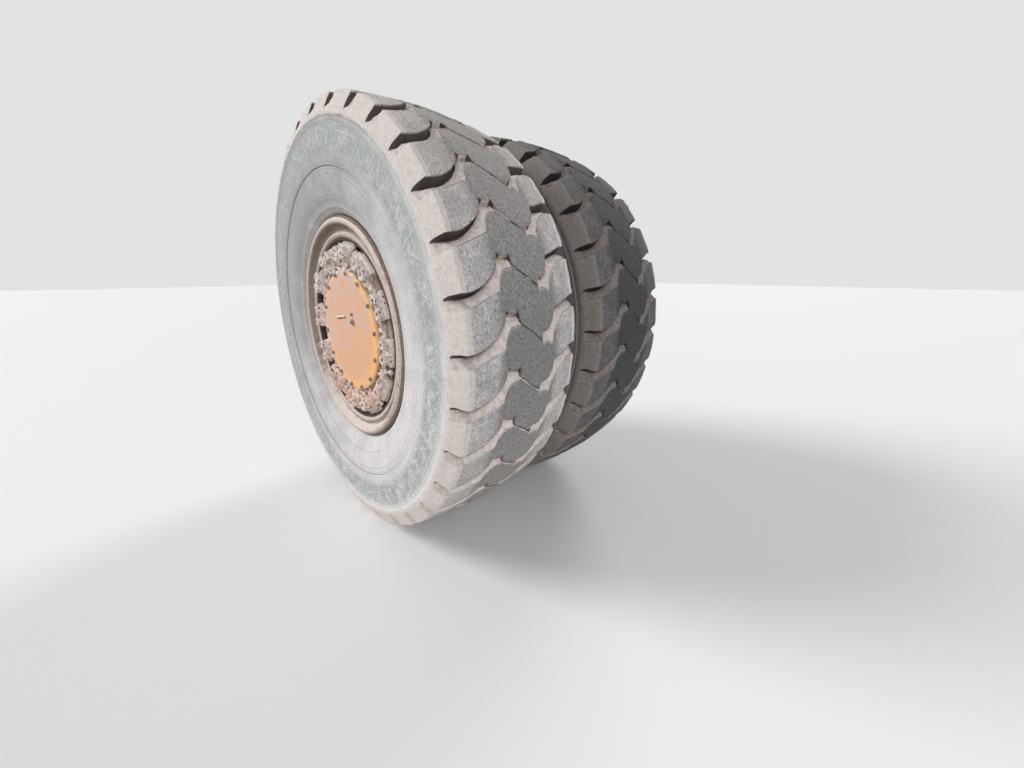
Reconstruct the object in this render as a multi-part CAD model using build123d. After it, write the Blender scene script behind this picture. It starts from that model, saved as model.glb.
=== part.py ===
"""Rear twin-wheel end of a rigid mining dump truck.

Two tyres on multi-piece rims sit side by side on one cast hub.  The hub turns
on a hollow spindle that bolts to the rear axle housing, with the brake housing
between them, and the axle shaft runs through the spindle into the final drive.

Frame: millimetres, +Z up, +X towards the front of the truck, +Y towards the
truck's centre line.  The origin is the centre of the spindle's mounting face,
so the wheels lie on the -Y side and the outer face of the wheel looks to -Y.
"""

from build123d import *
import os
from math import atan2, cos, radians, sin, tan

# Tyres, both alike: radius and full width at each change of the outside, from the crown to the bead
TYRE_R = 1436.0
CROWN_WIDTH = 318.0
TREAD_EDGE_R = 1406.0
TREAD_FACE_WIDTH = 800.0
SHOULDER_R = 1312.0
SHOULDER_WIDTH = 884.0
BUTTRESS_R = 1253.0
UPPER_SIDE_R = 1153.0
SECTION_WIDTH = 892.0
ARMOUR_R = 1028.0
ARMOUR_WIDTH = 878.0
ARMOUR_STEP = 6.0
LOWER_SIDE_R = 938.0
LOWER_SIDE_WIDTH = 854.0

# Tyre walls: under the tread, at the shoulder, at the side and at the bead
TREAD_WALL = 160.0
SHOULDER_WALL = 150.0
SIDE_WALL = 60.0
BEAD_WALL = 105.0
BEAD_TOP = 8.0

# Tread: pitches round the tyre, and the floor of a shoulder groove at its inner end and at the shoulder
PITCH_COUNT = 32
GROOVE_FLOOR_R = 1380.0
GROOVE_FLOOR_OUT = 188.0
GROOVE_EXIT_R = 1318.0
GROOVE_EXIT_OUT = 442.0
GROOVE_CLEAR = 140.0
GROOVE_PHASE_ANGLE = -3.1
GROOVE_STAGGER_ANGLE = -5.7

# Outline of a shoulder groove, each row the distance outboard of the centre plane and the place round the tread
GROOVE_OUTLINE = [
    (520, -184),
    (433, -156),
    (342, -154),
    (276, -126),
    (210, -74),
    (171, -21),
    (173, 12),
    (87, 3),
    (94, -43),
    (144, -49),
    (180, -98),
    (185, -156),
    (256, -178),
    (337, -211),
    (428, -236),
    (520, -260),
]

# Where the two tyres' centre planes lie, from the spindle's mounting face
INNER_TYRE_OFFSET = 738.0
DUAL_SPACING = 1070.0

# Rims, both alike: width between flanges, bead seat and wedge ends
RIM_WIDTH = 635.0
BEAD_SEAT_R = 647.7
BEAD_SEAT_ANGLE = 5.0
RIM_END_OVERHANG = 26.4
RIM_BORE_R = 602.0
RIM_WALL = 21.0
BACK_SEAT_LENGTH = 60.0
BACK_TAPER_LENGTH = 70.0
BACK_LIP_R = 661.0
WEDGE_ANGLE = 28.0
WEDGE_DEPTH = 11.0
SPACER_WALL = 15.0

# Rim gutter with its lock ring, and the loose band that the ring holds
GUTTER_LIP_R = 629.0
GUTTER_LIP_THICK = 10.0
GUTTER_FLOOR_R = 618.0
LOCK_GROOVE_WIDTH = 18.0
LOCK_RING_RISE = 9.0
LOCK_RING_SPLIT = 8.0
BAND_REACH = 120.0
BAND_NOSE = 4.0

# Side flanges: height over the bead seat, foot, lip and hollow
FLANGE_HEIGHT = 114.3
FLANGE_FOOT = 22.0
FLANGE_FOOT_RISE = 16.0
FLANGE_LIP_OVERHANG = 55.0
FLANGE_LIP_THICK = 13.0
FLANGE_HOLLOW = 60.0

# Outer face of a side flange, each row the depth below its top and the distance beyond its lip plane
FLANGE_FACE = [
    (66, -15),
    (50, 8),
    (41, 15),
    (29, 14),
    (13, 5),
]

# Hub: drum, clamp seat, taper and back ring that stops the inner rim
HUB_R = 556.0
HUB_WALL = 40.0
HUB_FACE_BEHIND_LIP = 52.0
HUB_SEAT_WIDTH = 74.0
HUB_TAPER_START = 60.0
HUB_BAND_WIDTH = 40.0
HUB_RING_R = 627.0
HUB_RING_THICK = 30.0
HUB_BACK_R = 564.0
HUB_BACK_DISH = 60.0

# Hub inside: pilot wall for the final drive, web and bearing barrel
HUB_PILOT_DEPTH = 40.0
HUB_PILOT_THICK = 40.0
HUB_WEB = 60.0
HUB_WEB_BEHIND_DRIVE = 60.0
BARREL_WALL = 74.0
BARREL_TAPER = 60.0
BARREL_RELIEF = 12.0

# Clamps that wedge the rims on the hub, each held by two studs
CLAMP_COUNT = 12
CLAMP_PHASE_ANGLE = 22.2
CLAMP_SPAN_ANGLE = 17.5
CLAMP_HEEL_R = 481.0
CLAMP_THICK = 36.0
CLAMP_EDGE = 12.0
CLAMP_TOE_THICK = 8.0
CLAMP_TOE_RUN = 14.0
CLAMP_DRUM_GAP = 4.0
STUD_CIRCLE_R = 535.0
STUD_SPREAD_ANGLE = 10.4
STUD_R = 16.0
STUD_END = 24.0
NUT_R = 30.0
NUT_HEIGHT = 36.0

# Final drive, as one block with its bolted flange
CARRIER_CLAMP_GAP = 9.0
CARRIER_R = CLAMP_HEEL_R - CARRIER_CLAMP_GAP
CARRIER_STEP = 8.0
CARRIER_BODY_R = 432.0
CARRIER_DEPTH = 360.0
CARRIER_BOLT_COUNT = 24
CARRIER_BOLT_R = 15.0
CARRIER_BOLT_EDGE = 3.0
CARRIER_BOLT_CLEAR = 5.0
CARRIER_BOLT_CIRCLE_R = CARRIER_R - CARRIER_BOLT_R - CARRIER_BOLT_EDGE
CARRIER_STEP_R = CARRIER_BOLT_CIRCLE_R - CARRIER_BOLT_R - CARRIER_BOLT_CLEAR
CARRIER_BOLT_HEAD = 16.0
CARRIER_BOLT_ANGLE = 3.0

# Round cover plate with its bolts, its lifting bar and its two oil plugs
COVER_R = 421.5
COVER_THICK = 18.0
COVER_EDGE = 4.0
COVER_BEHIND_LIP = 13.0
COVER_BOLT_COUNT = 14
COVER_BOLT_CIRCLE_R = 402.0
COVER_BOLT_R = 13.0
COVER_BOLT_HEAD = 13.0
COVER_BOLT_ANGLE = 4.0
COVER_BAR_FORWARD = -108.0
COVER_BAR_UP = 90.0
COVER_BAR_LENGTH = 140.0
COVER_BAR_WIDTH = 10.0
COVER_BAR_HEIGHT = 9.0
PLUG_FORWARD = 85.0
PLUG_UP = 74.0
PLUG_BOSS_R = 21.0
PLUG_BOSS_HEIGHT = 9.0
PLUG_SQUARE = 18.0
PLUG_HEIGHT = 21.0
VENT_ABOVE_PLUG = 42.0
VENT_R = 11.0
VENT_HEIGHT = 13.0

# Spindle: mounting flange, neck and the two bearing journals
MOUNT_FLANGE_R = 455.0
MOUNT_FLANGE_THICK = 55.0
MOUNT_PCD = 830.0
MOUNT_HOLE_COUNT = 24
MOUNT_HOLE_R = 19.0
SPINDLE_NECK_R = 340.0
SPINDLE_FLARE = 30.0
SPINDLE_SHOULDER = 40.0
SPINDLE_BORE_R = 104.0
SPINDLE_END_SHORT = 10.0
SPINDLE_END_EDGE = 12.0
JOURNAL_IN_R = 228.0
JOURNAL_OUT_R = 186.0
JOURNAL_LENGTH = 245.0

# Brake housing: drum with a bolted flange, ribs behind it and two oil ports
BRAKE_R = 545.0
BRAKE_EDGE = 14.0
BRAKE_TAPER = 62.0
BRAKE_FLANGE_R = 575.0
BRAKE_FLANGE_THICK = 32.0
BRAKE_FLANGE_BEHIND_FACE = 78.0
BRAKE_FROM_MOUNT = 112.0
BRAKE_BOLT_COUNT = 32
BRAKE_BOLT_INSET = 15.0
BRAKE_BOLT_R = 12.0
BRAKE_BOLT_HEAD = 15.0
BRAKE_RIB_COUNT = 16
BRAKE_RIB_THICK = 16.0
BRAKE_RIB_DEPTH = 80.0
BRAKE_PORT_CIRCLE_R = 430.0
BRAKE_PORT_R = 24.0
BRAKE_PORT_BORE_R = 13.0
BRAKE_PORT_HEIGHT = 22.0
BRAKE_PORT_ANGLES = [62.0, 80.0]

# Axle shaft, with the pilot that centres it in the final drive
SHAFT_R = 70.0
SPLINE_R = 79.0
SPLINE_LENGTH = 120.0
SPLINE_RUNOUT = 20.0
SUN_DEPTH = 150.0
PILOT_R = 45.0
PILOT_DEPTH = 95.0

# Clearances
SEAT_GAP = 0.3
RUNNING_GAP = 0.5
MOVING_GAP = 9.0

# Places along the axle and radii, worked out from the sizes above
INNER_Y = -INNER_TYRE_OFFSET
OUTER_Y = INNER_Y - DUAL_SPACING
HALF_RIM = RIM_WIDTH / 2
RIM_END = HALF_RIM + RIM_END_OVERHANG
FLANGE_R = BEAD_SEAT_R + FLANGE_HEIGHT
FLANGE_LIP = HALF_RIM + FLANGE_LIP_OVERHANG
BASE_R = RIM_BORE_R + RIM_WALL
WEDGE_RUN = WEDGE_DEPTH / tan(radians(WEDGE_ANGLE))
WEDGE_R = RIM_BORE_R + WEDGE_DEPTH - SEAT_GAP
LIP_Y = OUTER_Y - FLANGE_LIP
HUB_FACE_Y = LIP_Y + HUB_FACE_BEHIND_LIP
HUB_RING_Y = INNER_Y + RIM_END + SEAT_GAP
HUB_BACK_Y = HUB_RING_Y + HUB_RING_THICK
CLAMP_TOP_Y = HUB_FACE_Y - CLAMP_THICK
COVER_Y = LIP_Y + COVER_BEHIND_LIP
CARRIER_Y = COVER_Y + COVER_THICK
WEB_Y = CARRIER_Y + CARRIER_DEPTH + HUB_WEB_BEHIND_DRIVE
BRAKE_FACE_Y = HUB_BACK_Y + MOVING_GAP
BRAKE_FLANGE_Y = BRAKE_FACE_Y + BRAKE_FLANGE_BEHIND_FACE + BRAKE_FLANGE_THICK
BRAKE_BACK_Y = -BRAKE_FROM_MOUNT
BRAKE_BORE_R = SPINDLE_NECK_R + SEAT_GAP


def turned(points):
    """Turns a closed outline of (radius, y) points about the axle."""
    return revolve(make_face(Polyline(*[(r, y, 0) for r, y in points], close=True)), Axis.Y, 360)


def around(piece, count, phase=0.0):
    """Copies a piece round the axle; angle 0 is +X and angles grow towards +Z."""
    return [Rot(0, -phase - 360 / count * i, 0) * piece for i in range(count)]


def rod(radius, low_y, high_y):
    """A round bar on the axle from low_y to high_y."""
    return Pos(0, (low_y + high_y) / 2, 0) * Rot(90, 0, 0) * Cylinder(radius, high_y - low_y)


def hexagon(radius, low_y, high_y):
    """A six-sided nut or bolt head on the axle, radius to its corners."""
    return Pos(0, high_y, 0) * Rot(90, 0, 0) * extrude(RegularPolygon(radius, 6), high_y - low_y)


def bolt_ring(circle, radius, low_y, high_y, count, phase=0.0):
    """Six-sided bolt heads round the axle, each from low_y to high_y."""
    return Compound(children=around(Pos(circle, 0, 0) * hexagon(radius, low_y, high_y), count, phase))


def groove_cutter():
    """The space of one outboard shoulder groove at angle 0, over a floor that falls towards the shoulder."""
    fall = atan2(GROOVE_FLOOR_R - GROOVE_EXIT_R, GROOVE_EXIT_OUT - GROOVE_FLOOR_OUT)
    floor = Plane(
        origin=(GROOVE_FLOOR_R, -GROOVE_FLOOR_OUT, 0),
        x_dir=(sin(fall), cos(fall), 0),
        z_dir=(cos(fall), -sin(fall), 0),
    )
    points = [((GROOVE_FLOOR_OUT - out) / cos(fall), turn) for out, turn in GROOVE_OUTLINE]
    return extrude(floor * make_face(Polyline(*points, close=True)), GROOVE_CLEAR)


def tyre():
    """One tyre about its own centre plane: open to the rim between its beads, with its shoulder grooves cut."""
    bead = HALF_RIM - SEAT_GAP
    foot = BEAD_SEAT_R + SEAT_GAP
    flange_side = FLANGE_LIP - FLANGE_LIP_THICK - RUNNING_GAP
    side = [
        (foot, bead - BEAD_WALL),
        (foot, bead),
        (FLANGE_R - FLANGE_HOLLOW, bead),
        (FLANGE_R, flange_side),
        (LOWER_SIDE_R, LOWER_SIDE_WIDTH / 2),
        (ARMOUR_R, ARMOUR_WIDTH / 2 - ARMOUR_STEP),
        (ARMOUR_R, ARMOUR_WIDTH / 2),
        (UPPER_SIDE_R, SECTION_WIDTH / 2),
        (BUTTRESS_R, SECTION_WIDTH / 2),
        (SHOULDER_R, SHOULDER_WIDTH / 2),
        (TREAD_EDGE_R, TREAD_FACE_WIDTH / 2),
        (TYRE_R, CROWN_WIDTH / 2),
    ]
    inside = [
        (TREAD_EDGE_R - TREAD_WALL, SECTION_WIDTH / 2 - SHOULDER_WALL),
        (ARMOUR_R, SECTION_WIDTH / 2 - SIDE_WALL),
        (FLANGE_R + BEAD_TOP, flange_side - BEAD_WALL),
    ]
    half = side + [(r, -s) for r, s in reversed(side)]
    casing = turned(half + [(r, -s) for r, s in reversed(inside)] + inside)
    outboard = groove_cutter()
    inboard = Rot(180, 0, 0) * outboard
    staggered = GROOVE_PHASE_ANGLE + GROOVE_STAGGER_ANGLE
    return casing - around(outboard, PITCH_COUNT, GROOVE_PHASE_ANGLE) - around(inboard, PITCH_COUNT, staggered)


def side_flange(out):
    """One loose side flange of a rim; out is -1 on its outboard side and +1 on its inboard side."""
    foot = BEAD_SEAT_R + SEAT_GAP
    outline = [
        (foot, HALF_RIM),
        (foot, HALF_RIM + FLANGE_FOOT),
        (foot + FLANGE_FOOT_RISE, HALF_RIM + FLANGE_FOOT),
        *[(FLANGE_R - below, FLANGE_LIP + beyond) for below, beyond in FLANGE_FACE],
        (FLANGE_R, FLANGE_LIP - FLANGE_LIP_THICK),
        (FLANGE_R - FLANGE_HOLLOW, HALF_RIM),
    ]
    return turned([(r, s * out) for r, s in outline])


def rim_base():
    """The rim's base: gutter and lock-ring groove outboard, fixed back lip inboard, wedge bevels at both ends."""
    groove = -RIM_END + GUTTER_LIP_THICK
    seat = HALF_RIM - BACK_SEAT_LENGTH
    back = HALF_RIM + FLANGE_FOOT + SEAT_GAP
    return turned([
        (RIM_BORE_R + WEDGE_DEPTH, -RIM_END),
        (GUTTER_LIP_R, -RIM_END),
        (GUTTER_LIP_R, groove),
        (GUTTER_FLOOR_R, groove),
        (GUTTER_FLOOR_R, groove + LOCK_GROOVE_WIDTH),
        (BASE_R, groove + LOCK_GROOVE_WIDTH),
        (BASE_R, seat - BACK_TAPER_LENGTH),
        (BEAD_SEAT_R, seat),
        (BEAD_SEAT_R, back),
        (BACK_LIP_R, back),
        (BACK_LIP_R, RIM_END),
        (RIM_BORE_R + WEDGE_DEPTH, RIM_END),
        (RIM_BORE_R, RIM_END - WEDGE_RUN),
        (RIM_BORE_R, -RIM_END + WEDGE_RUN),
    ])


def lock_ring():
    """The split ring that keys the bead seat band to the rim's gutter, its split at the bottom."""
    low = -RIM_END + GUTTER_LIP_THICK + SEAT_GAP
    high = low + LOCK_GROOVE_WIDTH - 2 * SEAT_GAP
    top = GUTTER_LIP_R + LOCK_RING_RISE
    ring = turned([
        (GUTTER_FLOOR_R + SEAT_GAP, low),
        (GUTTER_FLOOR_R + SEAT_GAP, high),
        (top, high),
        (top, -RIM_END),
        (GUTTER_LIP_R + SEAT_GAP, -RIM_END),
        (GUTTER_LIP_R + SEAT_GAP, low),
    ])
    split = Box(LOCK_RING_SPLIT, 4 * LOCK_GROOVE_WIDTH, 2 * (top - GUTTER_FLOOR_R))
    return ring - Pos(0, -RIM_END, -(top + GUTTER_FLOOR_R) / 2) * split


def bead_band():
    """The loose tapered band that carries the outboard bead and flange."""
    back = HALF_RIM - BAND_REACH
    drop = BAND_REACH * tan(radians(BEAD_SEAT_ANGLE))
    groove = -RIM_END + GUTTER_LIP_THICK + LOCK_GROOVE_WIDTH
    nose = -RIM_END - BAND_NOSE
    ring = GUTTER_LIP_R + LOCK_RING_RISE + SEAT_GAP
    shoulder = -HALF_RIM - FLANGE_FOOT - SEAT_GAP
    return turned([
        (BASE_R + SEAT_GAP, -back),
        (BASE_R + SEAT_GAP, groove),
        (ring, groove),
        (ring, nose),
        (BACK_LIP_R, nose),
        (BACK_LIP_R, shoulder),
        (BEAD_SEAT_R, shoulder),
        (BEAD_SEAT_R, -HALF_RIM),
        (BEAD_SEAT_R - drop, -back),
    ])


def rim_spacer():
    """The band between the two rims, bevelled like a wedge at both ends."""
    low = OUTER_Y + RIM_END + SEAT_GAP
    high = INNER_Y - RIM_END - SEAT_GAP
    bore = RIM_BORE_R - SPACER_WALL
    return turned([
        (bore, low - WEDGE_RUN),
        (RIM_BORE_R - SEAT_GAP, low - WEDGE_RUN),
        (WEDGE_R, low),
        (WEDGE_R, high),
        (RIM_BORE_R - SEAT_GAP, high + WEDGE_RUN),
        (bore, high + WEDGE_RUN),
    ])


def wheel_hub():
    """The cast hub: outer drum, inboard ring that stops the inner rim, web and bearing barrel."""
    inner = HUB_R - HUB_WALL
    seat = HUB_R - HUB_SEAT_WIDTH
    pilot = CARRIER_BODY_R + SEAT_GAP
    pilot_y = HUB_FACE_Y + HUB_PILOT_DEPTH
    barrel = JOURNAL_IN_R + BARREL_WALL
    bore_in = JOURNAL_IN_R + RUNNING_GAP
    bore_out = JOURNAL_OUT_R + RUNNING_GAP
    return turned([
        (pilot, pilot_y),
        (seat, pilot_y),
        (seat, HUB_FACE_Y),
        (HUB_R, HUB_FACE_Y),
        (HUB_R, INNER_Y - HUB_TAPER_START),
        (RIM_BORE_R - SEAT_GAP, HUB_RING_Y - WEDGE_RUN - HUB_BAND_WIDTH),
        (RIM_BORE_R - SEAT_GAP, HUB_RING_Y - WEDGE_RUN),
        (WEDGE_R, HUB_RING_Y),
        (HUB_RING_R, HUB_RING_Y),
        (HUB_RING_R, HUB_BACK_Y),
        (HUB_BACK_R, HUB_BACK_Y),
        (inner, HUB_BACK_Y - HUB_BACK_DISH),
        (inner, WEB_Y + HUB_WEB),
        (barrel, WEB_Y + HUB_WEB),
        (barrel, HUB_BACK_Y),
        (bore_in, HUB_BACK_Y),
        (bore_in, HUB_BACK_Y - JOURNAL_LENGTH),
        (bore_out + BARREL_RELIEF, HUB_BACK_Y - JOURNAL_LENGTH - BARREL_TAPER),
        (bore_out + BARREL_RELIEF, WEB_Y + HUB_WEB + JOURNAL_LENGTH),
        (bore_out, WEB_Y + HUB_WEB + JOURNAL_LENGTH),
        (bore_out, WEB_Y),
        (inner, WEB_Y),
        (inner, pilot_y + HUB_PILOT_THICK),
        (pilot, pilot_y + HUB_PILOT_THICK),
    ])


def planet_carrier():
    """The final drive as one block, with its bolted flange and the pocket for the axle shaft."""
    flange_y = HUB_FACE_Y + HUB_PILOT_DEPTH - SEAT_GAP
    back = CARRIER_Y + CARRIER_DEPTH
    return turned([
        (0, CARRIER_Y),
        (CARRIER_STEP_R, CARRIER_Y),
        (CARRIER_STEP_R, CARRIER_Y + CARRIER_STEP),
        (CARRIER_R, CARRIER_Y + CARRIER_STEP),
        (CARRIER_R, flange_y),
        (CARRIER_BODY_R, flange_y),
        (CARRIER_BODY_R, back),
        (SHAFT_R + MOVING_GAP, back),
        (SHAFT_R + MOVING_GAP, CARRIER_Y + SUN_DEPTH),
        (PILOT_R + RUNNING_GAP, CARRIER_Y + SUN_DEPTH),
        (PILOT_R + RUNNING_GAP, CARRIER_Y + PILOT_DEPTH),
        (0, CARRIER_Y + PILOT_DEPTH),
    ])


def carrier_bolts():
    """Heads of the bolts that hold the final drive in the hub."""
    seat = CARRIER_Y + CARRIER_STEP
    ring = (CARRIER_BOLT_CIRCLE_R, CARRIER_BOLT_R, seat - CARRIER_BOLT_HEAD, seat)
    return bolt_ring(*ring, CARRIER_BOLT_COUNT, CARRIER_BOLT_ANGLE)


def drive_cover():
    """The round cover plate, with a shallow edge chamfer and a short bar to lift it by."""
    plate = turned([
        (0, COVER_Y),
        (COVER_R - COVER_EDGE, COVER_Y),
        (COVER_R, COVER_Y + COVER_EDGE),
        (COVER_R, CARRIER_Y),
        (0, CARRIER_Y),
    ])
    bar = Box(COVER_BAR_LENGTH, 2 * COVER_BAR_HEIGHT, COVER_BAR_WIDTH)
    return plate + Pos(COVER_BAR_FORWARD, COVER_Y, COVER_BAR_UP) * bar


def cover_bolts():
    """Bolt heads round the cover's edge."""
    ring = (COVER_BOLT_CIRCLE_R, COVER_BOLT_R, COVER_Y - COVER_BOLT_HEAD, COVER_Y)
    return bolt_ring(*ring, COVER_BOLT_COUNT, COVER_BOLT_ANGLE)


def cover_plug():
    """Oil level plug on its boss, ahead of the cover's middle and above it, with a small vent plug over it."""
    boss = rod(PLUG_BOSS_R, COVER_Y - PLUG_BOSS_HEIGHT, COVER_Y)
    head = PLUG_HEIGHT - PLUG_BOSS_HEIGHT
    square = Pos(0, COVER_Y - PLUG_BOSS_HEIGHT - head / 2, 0) * Box(PLUG_SQUARE, head, PLUG_SQUARE)
    vent = hexagon(VENT_R, COVER_Y - VENT_HEIGHT, COVER_Y)
    level = Pos(PLUG_FORWARD, 0, PLUG_UP) * (boss + square)
    return Compound(children=[level, Pos(PLUG_FORWARD, 0, PLUG_UP + VENT_ABOVE_PLUG) * vent])


def clamp():
    """One wedge clamp with its middle at angle 0, drilled for its two studs."""
    face = HUB_FACE_Y - SEAT_GAP
    end = OUTER_Y - RIM_END
    toe = RIM_BORE_R - CLAMP_TOE_THICK
    under = end + WEDGE_RUN + CLAMP_TOE_RUN
    outline = [
        (CLAMP_HEEL_R, face),
        (CLAMP_HEEL_R, CLAMP_TOP_Y + CLAMP_EDGE),
        (CLAMP_HEEL_R + CLAMP_EDGE, CLAMP_TOP_Y),
        (RIM_BORE_R - CLAMP_EDGE, CLAMP_TOP_Y),
        (WEDGE_R, end - CLAMP_EDGE / 2),
        (WEDGE_R, end),
        (RIM_BORE_R - SEAT_GAP, end + WEDGE_RUN),
        (toe, under),
        (HUB_R + CLAMP_EDGE, under),
        (HUB_R + CLAMP_DRUM_GAP, face),
    ]
    body = revolve(make_face(Polyline(*[(r, y, 0) for r, y in outline], close=True)), Axis.Y, CLAMP_SPAN_ANGLE)
    body = Rot(0, -CLAMP_SPAN_ANGLE / 2, 0) * body
    hole = Pos(STUD_CIRCLE_R, 0, 0) * rod(STUD_R + SEAT_GAP, CLAMP_TOP_Y - CLAMP_EDGE, face + CLAMP_EDGE)
    return body - [Rot(0, side * STUD_SPREAD_ANGLE / 2, 0) * hole for side in (-1, 1)]


def clamp_stud():
    """One stud with its nut, at angle 0 on the stud circle."""
    nut_y = CLAMP_TOP_Y - NUT_HEIGHT
    shank = rod(STUD_R, nut_y - STUD_END, HUB_FACE_Y)
    return Pos(STUD_CIRCLE_R, 0, 0) * (shank + hexagon(NUT_R, nut_y, CLAMP_TOP_Y - SEAT_GAP))


def clamp_studs():
    """All studs with their nuts, two to a clamp."""
    sides = [CLAMP_PHASE_ANGLE + side * STUD_SPREAD_ANGLE / 2 for side in (-1, 1)]
    return Compound(children=[stud for phase in sides for stud in around(clamp_stud(), CLAMP_COUNT, phase)])


def spindle():
    """The hollow spindle with its bolted mounting flange."""
    end = WEB_Y + SPINDLE_END_SHORT
    body = turned([
        (SPINDLE_BORE_R, 0),
        (SPINDLE_BORE_R, end),
        (JOURNAL_OUT_R - SPINDLE_END_EDGE, end),
        (JOURNAL_OUT_R, end + SPINDLE_END_EDGE),
        (JOURNAL_OUT_R, HUB_BACK_Y - JOURNAL_LENGTH - BARREL_TAPER),
        (JOURNAL_IN_R, HUB_BACK_Y - JOURNAL_LENGTH),
        (JOURNAL_IN_R, BRAKE_FACE_Y),
        (SPINDLE_NECK_R, BRAKE_FACE_Y + SPINDLE_SHOULDER),
        (SPINDLE_NECK_R, -MOUNT_FLANGE_THICK - SPINDLE_FLARE),
        (SPINDLE_NECK_R + SPINDLE_FLARE, -MOUNT_FLANGE_THICK),
        (MOUNT_FLANGE_R, -MOUNT_FLANGE_THICK),
        (MOUNT_FLANGE_R, 0),
    ])
    hole = Pos(MOUNT_PCD / 2, 0, 0) * rod(MOUNT_HOLE_R, -2 * MOUNT_FLANGE_THICK, MOUNT_FLANGE_THICK)
    return body - around(hole, MOUNT_HOLE_COUNT)


def brake_rib():
    """One rib behind the brake housing's flange, at angle 0."""
    outline = [
        (BRAKE_R - BRAKE_RIB_DEPTH, BRAKE_FLANGE_Y - BRAKE_FLANGE_THICK),
        (BRAKE_R, BRAKE_FLANGE_Y - BRAKE_FLANGE_THICK),
        (BRAKE_R, BRAKE_FLANGE_Y),
        (BRAKE_R - BRAKE_TAPER / 2, BRAKE_BACK_Y),
        (BRAKE_R - BRAKE_RIB_DEPTH, BRAKE_BACK_Y),
    ]
    face = make_face(Polyline(*[(r, y, 0) for r, y in outline], close=True))
    return extrude(face, BRAKE_RIB_THICK / 2, both=True)


def brake_housing():
    """The oil-cooled disc brake's housing: drum, bolted flange, ribs behind it and two oil ports."""
    drum = turned([
        (BRAKE_BORE_R, BRAKE_FACE_Y),
        (BRAKE_R - BRAKE_EDGE, BRAKE_FACE_Y),
        (BRAKE_R, BRAKE_FACE_Y + BRAKE_EDGE),
        (BRAKE_R, BRAKE_FLANGE_Y - BRAKE_FLANGE_THICK),
        (BRAKE_FLANGE_R, BRAKE_FLANGE_Y - BRAKE_FLANGE_THICK),
        (BRAKE_FLANGE_R, BRAKE_FLANGE_Y),
        (BRAKE_R, BRAKE_FLANGE_Y),
        (BRAKE_R - BRAKE_TAPER, BRAKE_BACK_Y),
        (BRAKE_BORE_R, BRAKE_BACK_Y),
    ])
    top = BRAKE_BACK_Y + BRAKE_PORT_HEIGHT
    ports = [Rot(0, -angle, 0) * Pos(BRAKE_PORT_CIRCLE_R, 0, 0) for angle in BRAKE_PORT_ANGLES]
    boss = rod(BRAKE_PORT_R, BRAKE_BACK_Y - BRAKE_PORT_HEIGHT, top)
    bore = rod(BRAKE_PORT_BORE_R, BRAKE_BACK_Y - BRAKE_PORT_HEIGHT, 0)
    housing = drum + around(brake_rib(), BRAKE_RIB_COUNT) + [place * boss for place in ports]
    return housing - [place * bore for place in ports]


def brake_bolts():
    """Bolt heads round the brake housing's flange."""
    circle = BRAKE_FLANGE_R - BRAKE_BOLT_INSET
    return bolt_ring(circle, BRAKE_BOLT_R, BRAKE_FLANGE_Y, BRAKE_FLANGE_Y + BRAKE_BOLT_HEAD, BRAKE_BOLT_COUNT)


def axle_shaft():
    """The axle shaft, from the mounting face into the final drive."""
    sun_y = CARRIER_Y + SUN_DEPTH + MOVING_GAP
    pilot_y = CARRIER_Y + PILOT_DEPTH + RUNNING_GAP
    return turned([
        (0, 0),
        (SPLINE_R, 0),
        (SPLINE_R, -SPLINE_LENGTH),
        (SHAFT_R, -SPLINE_LENGTH - SPLINE_RUNOUT),
        (SHAFT_R, sun_y),
        (PILOT_R, sun_y),
        (PILOT_R, pilot_y),
        (0, pilot_y),
    ])


# Pieces of one tyre on its rim, each about the tyre's own centre plane
WHEEL_PIECES = {
    "tyre": tyre(),
    "rim_base": rim_base(),
    "bead_band": bead_band(),
    "lock_ring": lock_ring(),
    "flange_outboard": side_flange(-1),
    "flange_inboard": side_flange(1),
}

parts = {}
for row, plane_y in (("outer", OUTER_Y), ("inner", INNER_Y)):
    for name, piece in WHEEL_PIECES.items():
        parts[f"{row}_{name}"] = Pos(0, plane_y, 0) * piece
parts["rim_spacer"] = rim_spacer()
parts["wheel_hub"] = wheel_hub()
parts["planet_carrier"] = planet_carrier()
parts["carrier_bolts"] = carrier_bolts()
parts["drive_cover"] = drive_cover()
parts["cover_bolts"] = cover_bolts()
parts["cover_plug"] = cover_plug()
parts["rim_clamps"] = Compound(children=around(clamp(), CLAMP_COUNT, CLAMP_PHASE_ANGLE))
parts["clamp_studs"] = clamp_studs()
parts["spindle"] = spindle()
parts["brake_housing"] = brake_housing()
parts["brake_bolts"] = brake_bolts()
parts["axle_shaft"] = axle_shaft()

os.makedirs("parts", exist_ok=True)
for name, piece in parts.items():
    export_step(piece, f"parts/{name}.step")
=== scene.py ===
"""Looks of the rear twin-wheel end of a rigid mining dump truck.

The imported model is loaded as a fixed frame.  Tyres, rim flanges and rings,
clamps, nuts and cover are modelled in place of its nodes with bmesh, dried mud
is added, and every piece gets a procedural finish.  Units are metres.  +Z is
up, +X the truck's front, and the outer face of the wheel looks to -Y.  A place
on the wheel is given by its radius, its distance along the axle and its angle,
0 at +X and growing to +Z.
"""

from __future__ import annotations

import logging
import math
import random
from dataclasses import dataclass
from enum import Enum
from typing import Callable, Iterable, NamedTuple, Sequence

import bmesh
import bpy
from mathutils import Matrix, Vector, kdtree, noise

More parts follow.
